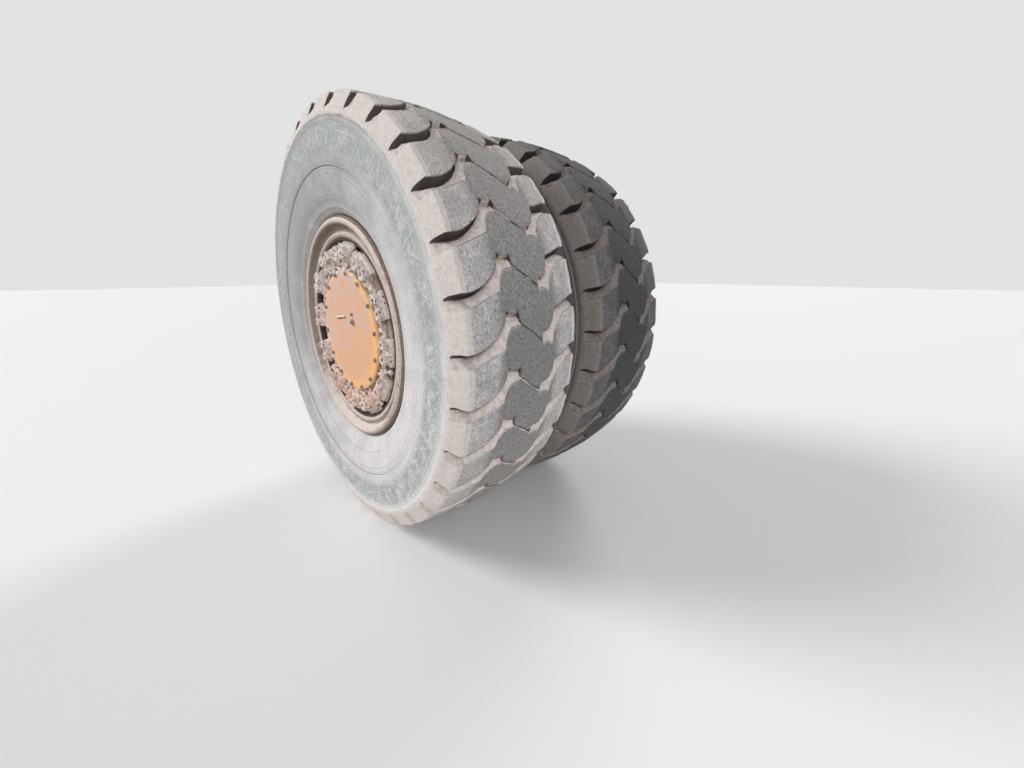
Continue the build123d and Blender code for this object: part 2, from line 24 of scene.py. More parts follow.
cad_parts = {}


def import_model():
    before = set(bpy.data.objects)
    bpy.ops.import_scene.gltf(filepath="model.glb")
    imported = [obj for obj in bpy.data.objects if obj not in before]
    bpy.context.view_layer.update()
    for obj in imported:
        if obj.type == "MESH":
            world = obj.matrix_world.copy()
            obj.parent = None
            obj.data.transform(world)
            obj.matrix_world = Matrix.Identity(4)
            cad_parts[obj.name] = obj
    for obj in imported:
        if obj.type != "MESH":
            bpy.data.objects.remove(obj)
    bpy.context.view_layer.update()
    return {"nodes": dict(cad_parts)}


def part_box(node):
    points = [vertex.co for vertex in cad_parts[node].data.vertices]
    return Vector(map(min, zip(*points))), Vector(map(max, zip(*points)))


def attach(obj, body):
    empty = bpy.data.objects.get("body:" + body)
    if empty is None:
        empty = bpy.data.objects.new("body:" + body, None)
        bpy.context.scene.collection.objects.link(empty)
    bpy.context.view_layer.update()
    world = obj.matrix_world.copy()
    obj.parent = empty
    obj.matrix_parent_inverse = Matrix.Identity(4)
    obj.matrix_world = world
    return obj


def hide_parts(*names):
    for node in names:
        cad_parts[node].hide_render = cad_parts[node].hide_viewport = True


LOG = logging.getLogger("wheel_end")
SQUARE = 4
HEXAGON = 6
AXLE = Vector((0.0, 1.0, 0.0))
CENTRE = Vector((0.0, 0.0, 0.0))
TURN = 2.0 * math.pi
SLACK = 1e-6

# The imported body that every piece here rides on
WHEEL = "wheel"

# Places of the colour sockets on a Mix node: factor, first, second and result
MIX_INPUTS = (0, 6, 7)
MIX_RESULT = 2

# Radius at which distances round the tread are measured
TREAD_REACH = 1.4

# Edges that are sharper than this stay sharp in the shading
SHARP_ANGLE = math.radians(38.0)

# Sizes that the rims share: half the width between the flanges, the flange's height,
# and the distance of its lip out from its seat, from which the camera's place is counted
RIM_HALF_WIDTH = 0.3175
FLANGE_HEIGHT = 0.1143
FLANGE_LIP = 0.055

Colour = tuple[float, float, float, float]
Profile = Sequence[tuple[float, float]]
Span = tuple[float, float]


class Slot(Enum):
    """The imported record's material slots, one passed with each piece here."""

    TYRE = "tyre"
    RIM = "rim_paint"
    COVER = "cover_paint"
    FASTENER = "fastener"
    MUD = "clamp_mud"


def srgb(red: int, green: int, blue: int) -> Colour:
    """Turns a screen colour of 0 to 255 into the linear colour that a shader takes.

    Args:
        red: Red of the colour as it is seen.
        green: Green of the colour as it is seen.
        blue: Blue of the colour as it is seen.

    Returns:
        The linear colour with full alpha.
    """
    channels = []
    for value in (red, green, blue):
        part = value / 255.0
        channels.append(part / 12.92 if part <= 0.04045 else ((part + 0.055) / 1.055) ** 2.4)
    return (channels[0], channels[1], channels[2], 1.0)


def on_wheel(radius: float, along: float, angle: float) -> Vector:
    """Gives the point at a radius, a place along the axle and an angle in radians."""
    return Vector((radius * math.cos(angle), along, radius * math.sin(angle)))


def facing_out(radius: float, along: float, angle: float) -> Matrix:
    """Gives the placement whose local Z looks outboard, along -Y, at a point of the wheel.

    Args:
        radius: Distance of the point from the axle.
        along: Place of the point along the axle.
        angle: Angle of the point in radians.

    Returns:
        The placement, its local X pointing away from the axle.
    """
    away = Vector((math.cos(angle), 0.0, math.sin(angle)))
    out = -AXLE
    side = out.cross(away)
    turn = Matrix((away, side, out)).transposed().to_4x4()
    return Matrix.Translation(on_wheel(radius, along, angle)) @ turn


class Shader:
    """Builds one node material, with short calls for the nodes that the finishes use."""

    SPECULAR = 0.3
    # Share of a circle's half width that is fully drawn
    CIRCLE_CORE = 0.4
    # Shift of a run of scratches ahead and up, for each radian of its turn
    STREAK_SHIFT = (3.0, 5.0)
    STREAK_EDGE = 0.03

    def __init__(self, name: str) -> None:
        """Starts an empty material.

        Args:
            name: Name of the material.
        """
        self.material = bpy.data.materials.new(name)
        self.material.use_nodes = True
        self.tree = self.material.node_tree
        self.surface = self.tree.nodes["Principled BSDF"]
        self.surface.inputs["Specular IOR Level"].default_value = self.SPECULAR
        coordinates = self.tree.nodes.new("ShaderNodeTexCoord")
        self.place = coordinates.outputs["Object"]
        self.looks = coordinates.outputs["Normal"]

    def feed(self, socket: bpy.types.NodeSocket, value: object) -> None:
        """Links a socket to another one, or sets its plain value."""
        if isinstance(value, bpy.types.NodeSocket):
            self.tree.links.new(value, socket)
        else:
            socket.default_value = value

    def unrolled(self, round_share: float, out_share: float = 1.0) -> bpy.types.NodeSocket:
        """Gives the place as distance round the tread, along the axle and out from the axle.

        Args:
            round_share: Share of the distance round the tread; under 1 it draws a
                pattern out that way.
            out_share: Share of the distance out from the axle.

        Returns:
            The three distances as one vector.
        """
        parts = self.tree.nodes.new("ShaderNodeSeparateXYZ")
        self.feed(parts.inputs["Vector"], self.place)
        angle = self.maths("ARCTAN2", parts.outputs["Z"], parts.outputs["X"])
        joined = self.tree.nodes.new("ShaderNodeCombineXYZ")
        self.feed(joined.inputs["X"], self.maths("MULTIPLY", angle, TREAD_REACH * round_share))
        self.feed(joined.inputs["Y"], parts.outputs["Y"])
        self.feed(joined.inputs["Z"], self.maths("MULTIPLY", self.radius(), out_share))
        return joined.outputs["Vector"]

    def lean(self, ahead: float, up: float, out: float = 0.0) -> bpy.types.NodeSocket:
        """Gives a value that grows along one way.

        Args:
            ahead: Growth for each metre towards +X.
            up: Growth for each metre towards +Z.
            out: Growth for each metre outboard, towards -Y.

        Returns:
            The value, 0 at the frame's origin.
        """
        node = self.tree.nodes.new("ShaderNodeVectorMath")
        node.operation = "DOT_PRODUCT"
        node.inputs[1].default_value = (ahead, -out, up)
        self.feed(node.inputs[0], self.place)
        return node.outputs["Value"]

    def circle(self, radius: float, half_width: float) -> bpy.types.NodeSocket:
        """Gives 1 on a thin circle round the axle and 0 beside it."""
        off = self.maths("ABSOLUTE", self.maths("SUBTRACT", self.radius(), radius))
        return self.maths("SUBTRACT", 1.0, self.band(off, half_width * self.CIRCLE_CORE, half_width))

    def noise(
        self,
        scale: float,
        detail: float = 4.0,
        rough: float = 0.55,
        vector: bpy.types.NodeSocket | None = None,
    ) -> bpy.types.NodeSocket:
        """Adds a noise pattern.

        Args:
            scale: Patches in a metre.
            detail: Number of finer layers.
            rough: Strength of the finer layers.
            vector: Coordinates, or None for the Object coordinates.

        Returns:
            The pattern's value, around 0.5.
        """
        node = self.tree.nodes.new("ShaderNodeTexNoise")
        node.inputs["Scale"].default_value = scale
        node.inputs["Detail"].default_value = detail
        node.inputs["Roughness"].default_value = rough
        self.feed(node.inputs["Vector"], vector or self.place)
        return node.outputs["Fac"]

    def spots(self, scale: float) -> bpy.types.NodeSocket:
        """Adds round spots and gives the distance from their centres."""
        node = self.tree.nodes.new("ShaderNodeTexVoronoi")
        node.inputs["Scale"].default_value = scale
        self.feed(node.inputs["Vector"], self.place)
        return node.outputs["Distance"]

    def band(self, value: object, low: float, high: float) -> bpy.types.NodeSocket:
        """Turns a value into 0 below low and 1 above high, smoothly between them."""
        node = self.tree.nodes.new("ShaderNodeMapRange")
        node.interpolation_type = "SMOOTHSTEP"
        node.inputs["From Min"].default_value = low
        node.inputs["From Max"].default_value = high
        self.feed(node.inputs["Value"], value)
        return node.outputs["Result"]

    def maths(self, operation: str, first: object, second: object = 0.0) -> bpy.types.NodeSocket:
        """Adds one sum on plain numbers or sockets."""
        node = self.tree.nodes.new("ShaderNodeMath")
        node.operation = operation
        self.feed(node.inputs[0], first)
        self.feed(node.inputs[1], second)
        return node.outputs["Value"]

    def largest(self, values: Sequence[bpy.types.NodeSocket]) -> bpy.types.NodeSocket:
        """Gives the largest of several values."""
        most = values[0]
        for value in values[1:]:
            most = self.maths("MAXIMUM", most, value)
        return most

    def mix(self, amount: object, first: object, second: object) -> bpy.types.NodeSocket:
        """Mixes two colours; an amount of 1 gives the second."""
        node = self.tree.nodes.new("ShaderNodeMix")
        node.data_type = "RGBA"
        factor, colour_a, colour_b = (node.inputs[index] for index in MIX_INPUTS)
        self.feed(factor, amount)
        self.feed(colour_a, first)
        self.feed(colour_b, second)
        return node.outputs[MIX_RESULT]

    def over(self, colour: object, tone: object, amount: object, share: object) -> bpy.types.NodeSocket:
        """Lays a tone over a colour as far as an amount times a share says."""
        return self.mix(self.maths("MULTIPLY", amount, share), colour, tone)

    def patches(
        self,
        scale: float,
        detail: float,
        rough: float,
        low: float,
        high: float,
    ) -> bpy.types.NodeSocket:
        """Gives patches of noise, 0 where it is below low and 1 where it is above high."""
        return self.band(self.noise(scale, detail, rough), low, high)

    def radius(self) -> bpy.types.NodeSocket:
        """Gives the distance from the axle."""
        flat = self.tree.nodes.new("ShaderNodeVectorMath")
        flat.operation = "MULTIPLY"
        flat.inputs[1].default_value = (1.0, 0.0, 1.0)
        self.feed(flat.inputs[0], self.place)
        length = self.tree.nodes.new("ShaderNodeVectorMath")
        length.operation = "LENGTH"
        self.feed(length.inputs[0], flat.outputs["Vector"])
        return length.outputs["Value"]

    def attribute(self, name: str) -> bpy.types.NodeSocket:
        """Gives a number stored on the mesh's points."""
        node = self.tree.nodes.new("ShaderNodeAttribute")
        node.attribute_name = name
        return node.outputs["Fac"]

    def facing_up(self) -> bpy.types.NodeSocket:
        """Gives how far the surface looks up while the wheel is at rest, from -1 to 1."""
        parts = self.tree.nodes.new("ShaderNodeSeparateXYZ")
        self.feed(parts.inputs["Vector"], self.looks)
        return parts.outputs["Z"]

    def streaks(self, turn: float, length: float, width: float, least: float) -> bpy.types.NodeSocket:
        """Adds sparse straight scratches that run one way across the wheel's side.

        Args:
            turn: Angle of the scratches about the axle.
            length: Rough length of a scratch in metres.
            width: Rough width of a scratch in metres.
            least: Value of the noise above which a scratch shows.

        Returns:
            1 on a scratch and 0 beside it.
        """
        node = self.tree.nodes.new("ShaderNodeMapping")
        node.vector_type = "TEXTURE"
        shift_ahead, shift_up = self.STREAK_SHIFT
        node.inputs["Location"].default_value = (turn * shift_ahead, 0.0, turn * shift_up)
        node.inputs["Rotation"].default_value = (0.0, turn, 0.0)
        node.inputs["Scale"].default_value = (length, 1.0, width)
        self.feed(node.inputs["Vector"], self.place)
        grain = self.tree.nodes.new("ShaderNodeTexNoise")
        grain.inputs["Scale"].default_value = 1.0
        grain.inputs["Detail"].default_value = 3.0
        grain.inputs["Distortion"].default_value = 0.25
        self.feed(grain.inputs["Vector"], node.outputs["Vector"])
        return self.band(grain.outputs["Fac"], least, least + self.STREAK_EDGE)

    def bump(self, height: object, depth: float, strength: float = 1.0) -> None:
        """Adds a bump below any that is there already.

        Args:
            height: Height pattern from 0 to 1.
            depth: Depth of the pattern in metres.
            strength: How much of it shows.
        """
        node = self.tree.nodes.new("ShaderNodeBump")
        node.inputs["Distance"].default_value = depth
        node.inputs["Strength"].default_value = strength
        self.feed(node.inputs["Height"], height)
        taken = self.surface.inputs["Normal"]
        if taken.is_linked:
            self.tree.links.new(taken.links[0].from_socket, node.inputs["Normal"])
        self.tree.links.new(node.outputs["Normal"], taken)

    def colour(self, value: object) -> None:
        """Sets the surface's colour."""
        self.feed(self.surface.inputs["Base Color"], value)

    def rough(self, value: object) -> None:
        """Sets the surface's roughness."""
        self.feed(self.surface.inputs["Roughness"], value)


@dataclass(frozen=True)
class DustyRubber:
    """Worn tyre rubber: rubbed side, grained lug tops, mud in the grooves and dust over all, with
    painted shade under the grooves' upper walls and painted highlights along the lugs' edges.
    """

    name: str
    side_light: Colour = srgb(214, 210, 208)
    side_dark: Colour = srgb(158, 156, 154)
    rubbed: Colour = srgb(150, 155, 155)
    scratch: Colour = srgb(216, 215, 213)
    crease: Colour = srgb(112, 110, 109)
    lug_light: Colour = srgb(238, 232, 229)
    lug_dark: Colour = srgb(152, 151, 151)
    speck: Colour = srgb(84, 82, 81)
    centre: Colour = srgb(122, 121, 121)
    chamfer_light: Colour = srgb(230, 220, 214)
    chamfer_dark: Colour = srgb(200, 189, 182)
    mud_light: Colour = srgb(218, 206, 201)
    mud_dark: Colour = srgb(190, 177, 171)
    # Painted shade under a groove's upper wall, and a painted highlight along the lugs' edges
    shade: Colour = srgb(86, 78, 75)
    edge: Colour = srgb(226, 217, 211)
    ring_inner: float = 1.04
    ring_outer: float = 1.262
    mould_circles: Sequence[float] = (0.872, 0.986, 1.012, 1.046, 1.120, 1.238)
    mould_line: float = 0.0028
    # The ledge's step: its radius, and the half width of the line of painted shade drawn in it
    ledge_circle: float = 1.0275
    ledge_line: float = 0.0042
    scratch_least: float = 0.635
    # Each run of scratches: turn about the axle, length and width
    scratch_runs: Sequence[tuple[float, float, float]] = (
        (0.35, 0.30, 0.0040),
        (-0.62, 0.22, 0.0030),
        (1.25, 0.36, 0.0036),
        (2.05, 0.20, 0.0028),
        (1.62, 0.26, 0.0030),
        (2.75, 0.40, 0.0038),
    )

    def scratches(self, shader: Shader, zone: bpy.types.NodeSocket) -> bpy.types.NodeSocket:
        """Gives the fine scratches, most of them in the rubbed zone.

        Args:
            shader: The material's builder.
            zone: 1 in the rubbed zone and 0 outside it.

        Returns:
            How much of a scratch shows.
        """
        runs = [shader.streaks(*run, self.scratch_least) for run in self.scratch_runs]
        lines = shader.largest(runs)
        share = shader.maths("ADD", shader.maths("MULTIPLY", zone, 0.62), 0.14)
        return shader.maths("MULTIPLY", lines, share)

    def creases(self, shader: Shader) -> bpy.types.NodeSocket:
        """Gives the fine circles of the mould and the thin cracks that run across them."""
        circles = [shader.circle(radius, self.mould_line) for radius in self.mould_circles]
        lines = shader.maths("MULTIPLY", shader.largest(circles), 0.45)
        cracks = shader.band(shader.noise(46.0, 5.0, 0.6, shader.unrolled(1.0, 0.10)), 0.655, 0.70)
        return shader.maths("MAXIMUM", lines, shader.maths("MULTIPLY", cracks, 0.30))

    def sidewall(self, shader: Shader) -> bpy.types.NodeSocket:
        """Colours the side: uneven dust with painted light that grows towards the front and lower down,
        a rubbed zone with scratches, circles, a line of painted shade in the ledge's step, cracks and
        pits.

        Args:
            shader: The material's builder.

        Returns:
            The side's colour.
        """
        # Uneven dust clouds, plus painted light: the side is painted lighter towards the front (+X) and
        # lower down
        clouds = shader.maths("MULTIPLY", shader.noise(5.0, 9.0, 0.68), 0.6)
        dust_and_painted_light = shader.maths("ADD", shader.maths("ADD", clouds, 0.2), shader.lean(0.11, -0.12))
        side = shader.mix(shader.band(dust_and_painted_light, 0.30, 0.74), self.side_dark, self.side_light)
        radius = shader.radius()
        inner = shader.band(radius, self.ring_inner, self.ring_inner + 0.09)
        outer = shader.band(radius, self.ring_outer - 0.05, self.ring_outer + 0.01)
        zone = shader.maths("SUBTRACT", inner, outer)
        patches = shader.patches(12.0, 10.0, 0.8, 0.32, 0.56)
        side = shader.over(side, self.rubbed, zone, patches)
        fine = shader.patches(70.0, 5.0, 0.75, 0.34, 0.66)
        side = shader.over(side, self.crease, fine, 0.22)
        side = shader.mix(self.creases(shader), side, self.crease)
        # Painted shade: a dark line in the ledge's step
        ledge = shader.maths("MULTIPLY", shader.circle(self.ledge_circle, self.ledge_line), 0.75)
        side = shader.mix(ledge, side, self.crease)
        side = shader.mix(self.scratches(shader, zone), side, self.scratch)
        pits = shader.maths("SUBTRACT", 1.0, shader.band(shader.spots(26.0), 0.06, 0.13))
        pits = shader.maths("MULTIPLY", pits, shader.band(shader.noise(11.0), 0.52, 0.62))
        return shader.over(side, self.crease, pits, 0.5)

    def tread(self, shader: Shader) -> bpy.types.NodeSocket:
        """Colours the lug tops: grain drawn out round the tread, dark specks, a darker middle, and a
        paler tone towards the wheel's top and bottom.

        Args:
            shader: The material's builder.

        Returns:
            The lug tops' colour.
        """
        grain = shader.band(shader.noise(105.0, 6.0, 0.85, shader.unrolled(0.5)), 0.42, 0.58)
        patches = shader.patches(9.0, 7.0, 0.65, 0.30, 0.70)
        lug = shader.over(self.lug_dark, self.lug_light, grain, patches)
        lug = shader.over(lug, self.lug_light, grain, 0.30)
        middle = shader.over(self.centre, self.lug_dark, grain, 0.55)
        lug = shader.mix(shader.attribute("centre"), lug, middle)
        # The lug tops are paler towards the top and the bottom of the wheel
        height = shader.maths("ABSOLUTE", shader.lean(0.0, 0.13))
        paler_high_and_low = shader.band(shader.maths("ADD", shader.noise(60.0, 8.0, 0.85), height), 0.48, 0.70)
        lug = shader.over(lug, self.chamfer_dark, paler_high_and_low, 0.6)
        specks = shader.band(shader.noise(88.0, 4.0, 0.7, shader.unrolled(0.7)), 0.58, 0.66)
        return shader.over(lug, self.speck, specks, 0.85)

    def build(self) -> bpy.types.Material:
        """Builds the material, which reads the tyre mesh's own attributes."""
        shader = Shader(self.name)
        colour = shader.mix(shader.attribute("flat"), self.sidewall(shader), self.tread(shader))
        fine = shader.band(shader.noise(115.0, 6.0, 0.8, shader.unrolled(0.45)), 0.30, 0.66)
        chamfer = shader.mix(fine, self.chamfer_dark, self.chamfer_light)
        ragged = shader.maths("MULTIPLY", shader.noise(15.0, 9.0, 0.78), 2.2)
        worn = shader.maths("ADD", shader.attribute("shoulder"), ragged)
        colour = shader.mix(shader.band(worn, 1.48, 1.82), colour, chamfer)
        caked = shader.patches(42.0, 6.0, 0.7, 0.34, 0.64)
        mud = shader.mix(caked, self.mud_dark, self.mud_light)
        edge_noise = shader.maths("MULTIPLY", shader.noise(40.0), 0.3)
        muddy = shader.maths("ADD", shader.attribute("mud"), edge_noise)
        colour = shader.mix(shader.band(muddy, 0.42, 0.62), colour, mud)
        # Painted highlight along the lugs' edges, then painted shade under the grooves' upper walls and
        # in the narrow cut
        broken = shader.patches(36.0, 6.0, 0.7, 0.34, 0.58)
        edge_highlight = shader.maths("MULTIPLY", shader.attribute("edge"), broken)
        colour = shader.over(colour, self.edge, edge_highlight, 0.8)
        colour = shader.mix(shader.band(shader.attribute("shade"), 0.06, 0.40), colour, self.shade)
        shader.colour(colour)
        shader.rough(0.92)
        tread = shader.maths("MAXIMUM", shader.attribute("flat"), shader.attribute("shoulder"))
        rough_share = shader.maths("ADD", tread, 0.2)
        grain = shader.noise(120.0, 6.0, 0.8, shader.unrolled(0.45))
        shader.bump(shader.maths("MULTIPLY", grain, rough_share), 0.007, 0.9)
        shader.bump(shader.maths("MULTIPLY", shader.noise(38.0, 6.0, 0.65), rough_share), 0.010, 0.7)
        return shader.material


@dataclass(frozen=True)
class DustyMetal:
    """Painted or rusty steel under dust: a base, a rust and a dust colour in patches."""

    name: str
    base: Colour
    rust: Colour
    dust: Colour
    dust_share: float = 0.5
    rust_share: float = 0.4
    patch: float = 6.0
    roughness: float = 0.8
    metallic: float = 0.0
    grain: float = 0.002

    def build(self) -> bpy.types.Material:
        """Builds the material from noise at three scales."""
        shader = Shader(self.name)
        least = 0.62 - self.rust_share * 0.3
        rusty = shader.band(shader.noise(self.patch * 2.0, 8.0, 0.65), least, least + 0.10)
        settled = shader.maths("MULTIPLY", shader.facing_up(), 0.06)
        dusty = shader.maths("ADD", shader.noise(self.patch, 6.0, 0.6), settled)
        edge = 0.70 - self.dust_share * 0.4
        dusty = shader.band(dusty, edge - 0.10, edge + 0.12)
        fine = shader.patches(70.0, 4.0, 0.7, 0.30, 0.62)
        colour = shader.mix(rusty, self.base, self.rust)
        colour = shader.over(colour, self.dust, dusty, fine)
        shader.colour(colour)
        shader.rough(self.roughness)
        shader.surface.inputs["Metallic"].default_value = self.metallic
        shader.bump(shader.noise(110.0, 5.0, 0.7), self.grain, 0.6)
        shader.bump(shader.noise(18.0, 5.0, 0.6), self.grain * 2.0, 0.4)
        return shader.material


@dataclass(frozen=True)
class RimSteel:
    """A rim's rusty steel, its tone set by the distance from the axle and by the way a surface faces,
    with painted shade in the gutter, partly in the recess and flank, and on what faces down.
    """

    name: str = "rusty_rim"
    # The bands' colours from the bore out: the near-black gutter is painted shade of the deep gap by
    # the bore, and the recess and flank are darker partly as painted shade and partly as rust
    gutter: Colour = srgb(56, 48, 43)
    ring: Colour = srgb(190, 176, 168)
    recess: Colour = srgb(134, 117, 108)
    crest: Colour = srgb(194, 178, 169)
    flank: Colour = srgb(118, 100, 86)
    # Painted shade on what faces down, also the colour of dark specks
    under: Colour = srgb(88, 76, 69)
    rust: Colour = srgb(124, 94, 77)
    dust: Colour = srgb(210, 197, 190)
    ring_from: float = 0.6285
    recess_from: float = 0.666
    crest_from: float = 0.708
    flank_from: float = 0.7455
    blur: float = 0.006

    def bands(self, shader: Shader, radius: bpy.types.NodeSocket) -> bpy.types.NodeSocket:
        """Colours the gutter, ring, recess, crest and flank by their distance from the axle; the
        gutter's near-black is painted shade, and the recess and flank are darker partly as painted
        shade.
        """
        colour = self.gutter
        starts = (
            (self.ring_from, self.ring),
            (self.recess_from, self.recess),
            (self.crest_from, self.crest),
            (self.flank_from, self.flank),
        )
        for start, tone in starts:
            colour = shader.mix(shader.band(radius, start, start + self.blur), colour, tone)
        return colour

    def build(self) -> bpy.types.Material:
        """Builds the material: the bands, then rust, painted shade on what faces down, and dust."""
        shader = Shader(self.name)
        wander = shader.maths("MULTIPLY", shader.maths("SUBTRACT", shader.noise(9.0, 6.0), 0.5), 0.010)
        radius = shader.maths("ADD", shader.radius(), wander)
        colour = self.bands(shader, radius)
        rusty = shader.patches(13.0, 8.0, 0.7, 0.50, 0.68)
        colour = shader.over(colour, self.rust, rusty, 0.5)
        # Painted shade: what faces down is darkened
        up = shader.facing_up()
        below = shader.maths("SUBTRACT", 1.0, shader.band(up, -0.9, -0.1))
        colour = shader.over(colour, self.under, below, 0.7)
        patches = shader.maths("SUBTRACT", shader.noise(16.0, 6.0, 0.65), 0.5)
        scatter = shader.maths("ADD", up, shader.maths("MULTIPLY", patches, 1.2))
        outside = shader.band(radius, self.flank_from, self.flank_from + self.blur)
        loose = shader.maths("SUBTRACT", scatter, shader.maths("MULTIPLY", outside, 1.4))
        settled = shader.band(radius, self.ring_from - self.blur, self.ring_from)
        loose = shader.maths("MULTIPLY", shader.band(loose, 0.15, 0.65), settled)
        colour = shader.mix(loose, colour, self.dust)
        grain = shader.patches(110.0, 5.0, 0.8, 0.52, 0.66)
        speckle = shader.maths("MULTIPLY", grain, settled)
        colour = shader.over(colour, self.dust, speckle, 0.62)
        specks = shader.patches(82.0, 5.0, 0.8, 0.55, 0.64)
        colour = shader.over(colour, self.under, specks, 0.7)
        shader.colour(colour)
        shader.rough(0.82)
        shader.bump(shader.noise(120.0, 5.0, 0.7), 0.003, 0.7)
        shader.bump(shader.noise(24.0, 5.0, 0.6), 0.004, 0.6)
        return shader.material


@dataclass(frozen=True)
class DriedMud:
    """Caked, crumbly mud: rusty low down, greyer on the clamps' toes, and darkened with painted shade
    in every hollow and at the stud holes.
    """

    name: str
    light: Colour = srgb(232, 218, 211)
    dark: Colour = srgb(200, 184, 177)
    rusty: Colour = srgb(222, 178, 152)
    grey: Colour = srgb(212, 199, 194)
    # Dark specks, and the painted shade of every hollow and stud hole
    hollow: Colour = srgb(92, 79, 73)
    toe_from: float = 0.556
    toe_blur: float = 0.006

    def build(self) -> bpy.types.Material:
        """Builds the material; it reads the attribute hollow of the mud's mesh as painted shade."""
        shader = Shader(self.name)
        colour = shader.mix(shader.patches(34.0, 7.0, 0.7, 0.38, 0.60), self.dark, self.light)
        stained = shader.maths("ADD", shader.noise(9.0, 8.0, 0.7), shader.lean(0.0, -0.26))
        stained = shader.band(stained, 0.52, 0.70)
        colour = shader.over(colour, self.rusty, stained, 0.6)
        toe = shader.band(shader.radius(), self.toe_from, self.toe_from + self.toe_blur)
        colour = shader.over(colour, self.grey, toe, 0.4)
        specks = shader.patches(85.0, 5.0, 0.8, 0.58, 0.65)
        colour = shader.over(colour, self.hollow, specks, 0.7)
        # Painted shade where the mesh is hollow and at the stud holes
        colour = shader.mix(shader.attribute("hollow"), colour, self.hollow)
        shader.colour(colour)
        shader.rough(0.95)
        shader.bump(shader.noise(150.0, 5.0, 0.8), 0.005, 0.9)
        shader.bump(shader.noise(50.0, 5.0, 0.7), 0.008, 0.6)
        return shader.material


@dataclass(frozen=True)
class CoverPaint:
    """Worn orange paint on the drive cover, pink with dust, yellower near its edge, with a painted
    highlight on its bar.
    """

    name: str = "worn_cover_paint"
    paint: Colour = srgb(217, 160, 118)
    yellow: Colour = srgb(238, 182, 112)
    dust: Colour = srgb(199, 171, 157)
    rust: Colour = srgb(176, 126, 98)
    # Pale paint on the bar: a painted highlight
    worn: Colour = srgb(252, 224, 196)
    edge_from: float = 0.345
    edge_to: float = 0.432
    streak_lean: float = 0.10
    # Distance outboard from which the paint is the bar's painted highlight
    bar_highlight_from: float = 2.1705
    bar_highlight_blur: float = 0.002

    def build(self) -> bpy.types.Material:
        """Builds the material, with faint streaks that run down the plate."""
        shader = Shader(self.name)
        wander = shader.maths("SUBTRACT", shader.noise(9.0, 7.0, 0.7), 0.5)
        lower = shader.maths("ADD", shader.maths("MULTIPLY", wander, 0.16), shader.lean(0.03, -0.07))
        reach = shader.maths("ADD", shader.radius(), lower)
        near_edge = shader.band(reach, self.edge_from, self.edge_to)
        settled = shader.maths("ADD", shader.noise(7.0, 9.0, 0.72), shader.lean(-0.14, 0.20))
        dusty = shader.band(settled, 0.36, 0.64)
        colour = shader.over(self.paint, self.dust, dusty, 0.9)
        colour = shader.over(colour, self.yellow, near_edge, 0.7)
        run = shader.streaks(math.pi / 2.0 - self.streak_lean, 0.22, 0.016, 0.54)
        colour = shader.over(colour, self.rust, run, 0.07)
        stains = shader.patches(24.0, 9.0, 0.8, 0.54, 0.70)
        colour = shader.over(colour, self.rust, stains, 0.55)
        speckle = shader.patches(130.0, 5.0, 0.85, 0.50, 0.62)
        colour = shader.over(colour, self.dust, speckle, 0.5)
        specks = shader.patches(95.0, 5.0, 0.85, 0.56, 0.66)
        colour = shader.over(colour, self.rust, specks, 0.5)
        # Painted highlight: the bar, which stands out in front of the plate, is painted pale
        outboard = shader.lean(0.0, 0.0, 1.0)
        bar_highlight = shader.band(outboard, self.bar_highlight_from, self.bar_highlight_from + self.bar_highlight_blur)
        colour = shader.over(colour, self.worn, bar_highlight, 0.85)
        shader.colour(colour)
        shader.rough(0.75)
        shader.bump(shader.noise(80.0, 6.0, 0.75), 0.003, 0.6)
        return shader.material


class Finish(Enum):
    """The finishes of this wheel end."""

    OUTER_RUBBER = DustyRubber("dusty_outer_tyre")
    # The inner tyre's colours are darker all over than the outer tyre's: painted shade of its place
    # between the tyres and under the body, and less dust
    INNER_RUBBER = DustyRubber(
        "dusty_inner_tyre_painted_shade",
        side_light=srgb(140, 136, 134),
        side_dark=srgb(104, 102, 101),
        rubbed=srgb(102, 103, 104),
        scratch=srgb(146, 145, 143),
        crease=srgb(70, 69, 68),
        lug_light=srgb(128, 126, 125),
        lug_dark=srgb(74, 75, 76),
        speck=srgb(42, 42, 42),
        centre=srgb(62, 62, 63),
        chamfer_light=srgb(140, 132, 128),
        chamfer_dark=srgb(112, 104, 100),
        mud_light=srgb(138, 129, 124),
        mud_dark=srgb(108, 100, 96),
        shade=srgb(48, 44, 42),
        edge=srgb(150, 143, 138),
    )
    RIM = RimSteel()
    CAST = DustyMetal(
        "dusty_casting",
        base=srgb(122, 106, 98),
        rust=srgb(110, 76, 58),
        dust=srgb(176, 160, 150),
        dust_share=0.6,
    )
    BRAKE = DustyMetal(
        "faded_brake_paint",
        base=srgb(204, 160, 84),
        rust=srgb(134, 92, 64),
        dust=srgb(180, 164, 150),
        dust_share=0.55,
    )
    BOLT = DustyMetal(
        "dull_bolts",
        base=srgb(120, 104, 94),
        rust=srgb(104, 78, 62),
        dust=srgb(160, 142, 130),
        dust_share=0.5,
        patch=20.0,
    )
    SHAFT = DustyMetal(
        "oily_shaft",
        base=srgb(126, 124, 122),
        rust=srgb(98, 86, 78),
        dust=srgb(150, 142, 134),
        dust_share=0.2,
        roughness=0.45,
        metallic=0.8,
    )
    MUD = DriedMud("dried_mud")
    COVER = CoverPaint()

    def material(self) -> bpy.types.Material:
        """Gives the finish's material, built at its first use."""
        return bpy.data.materials.get(self.value.name) or self.value.build()


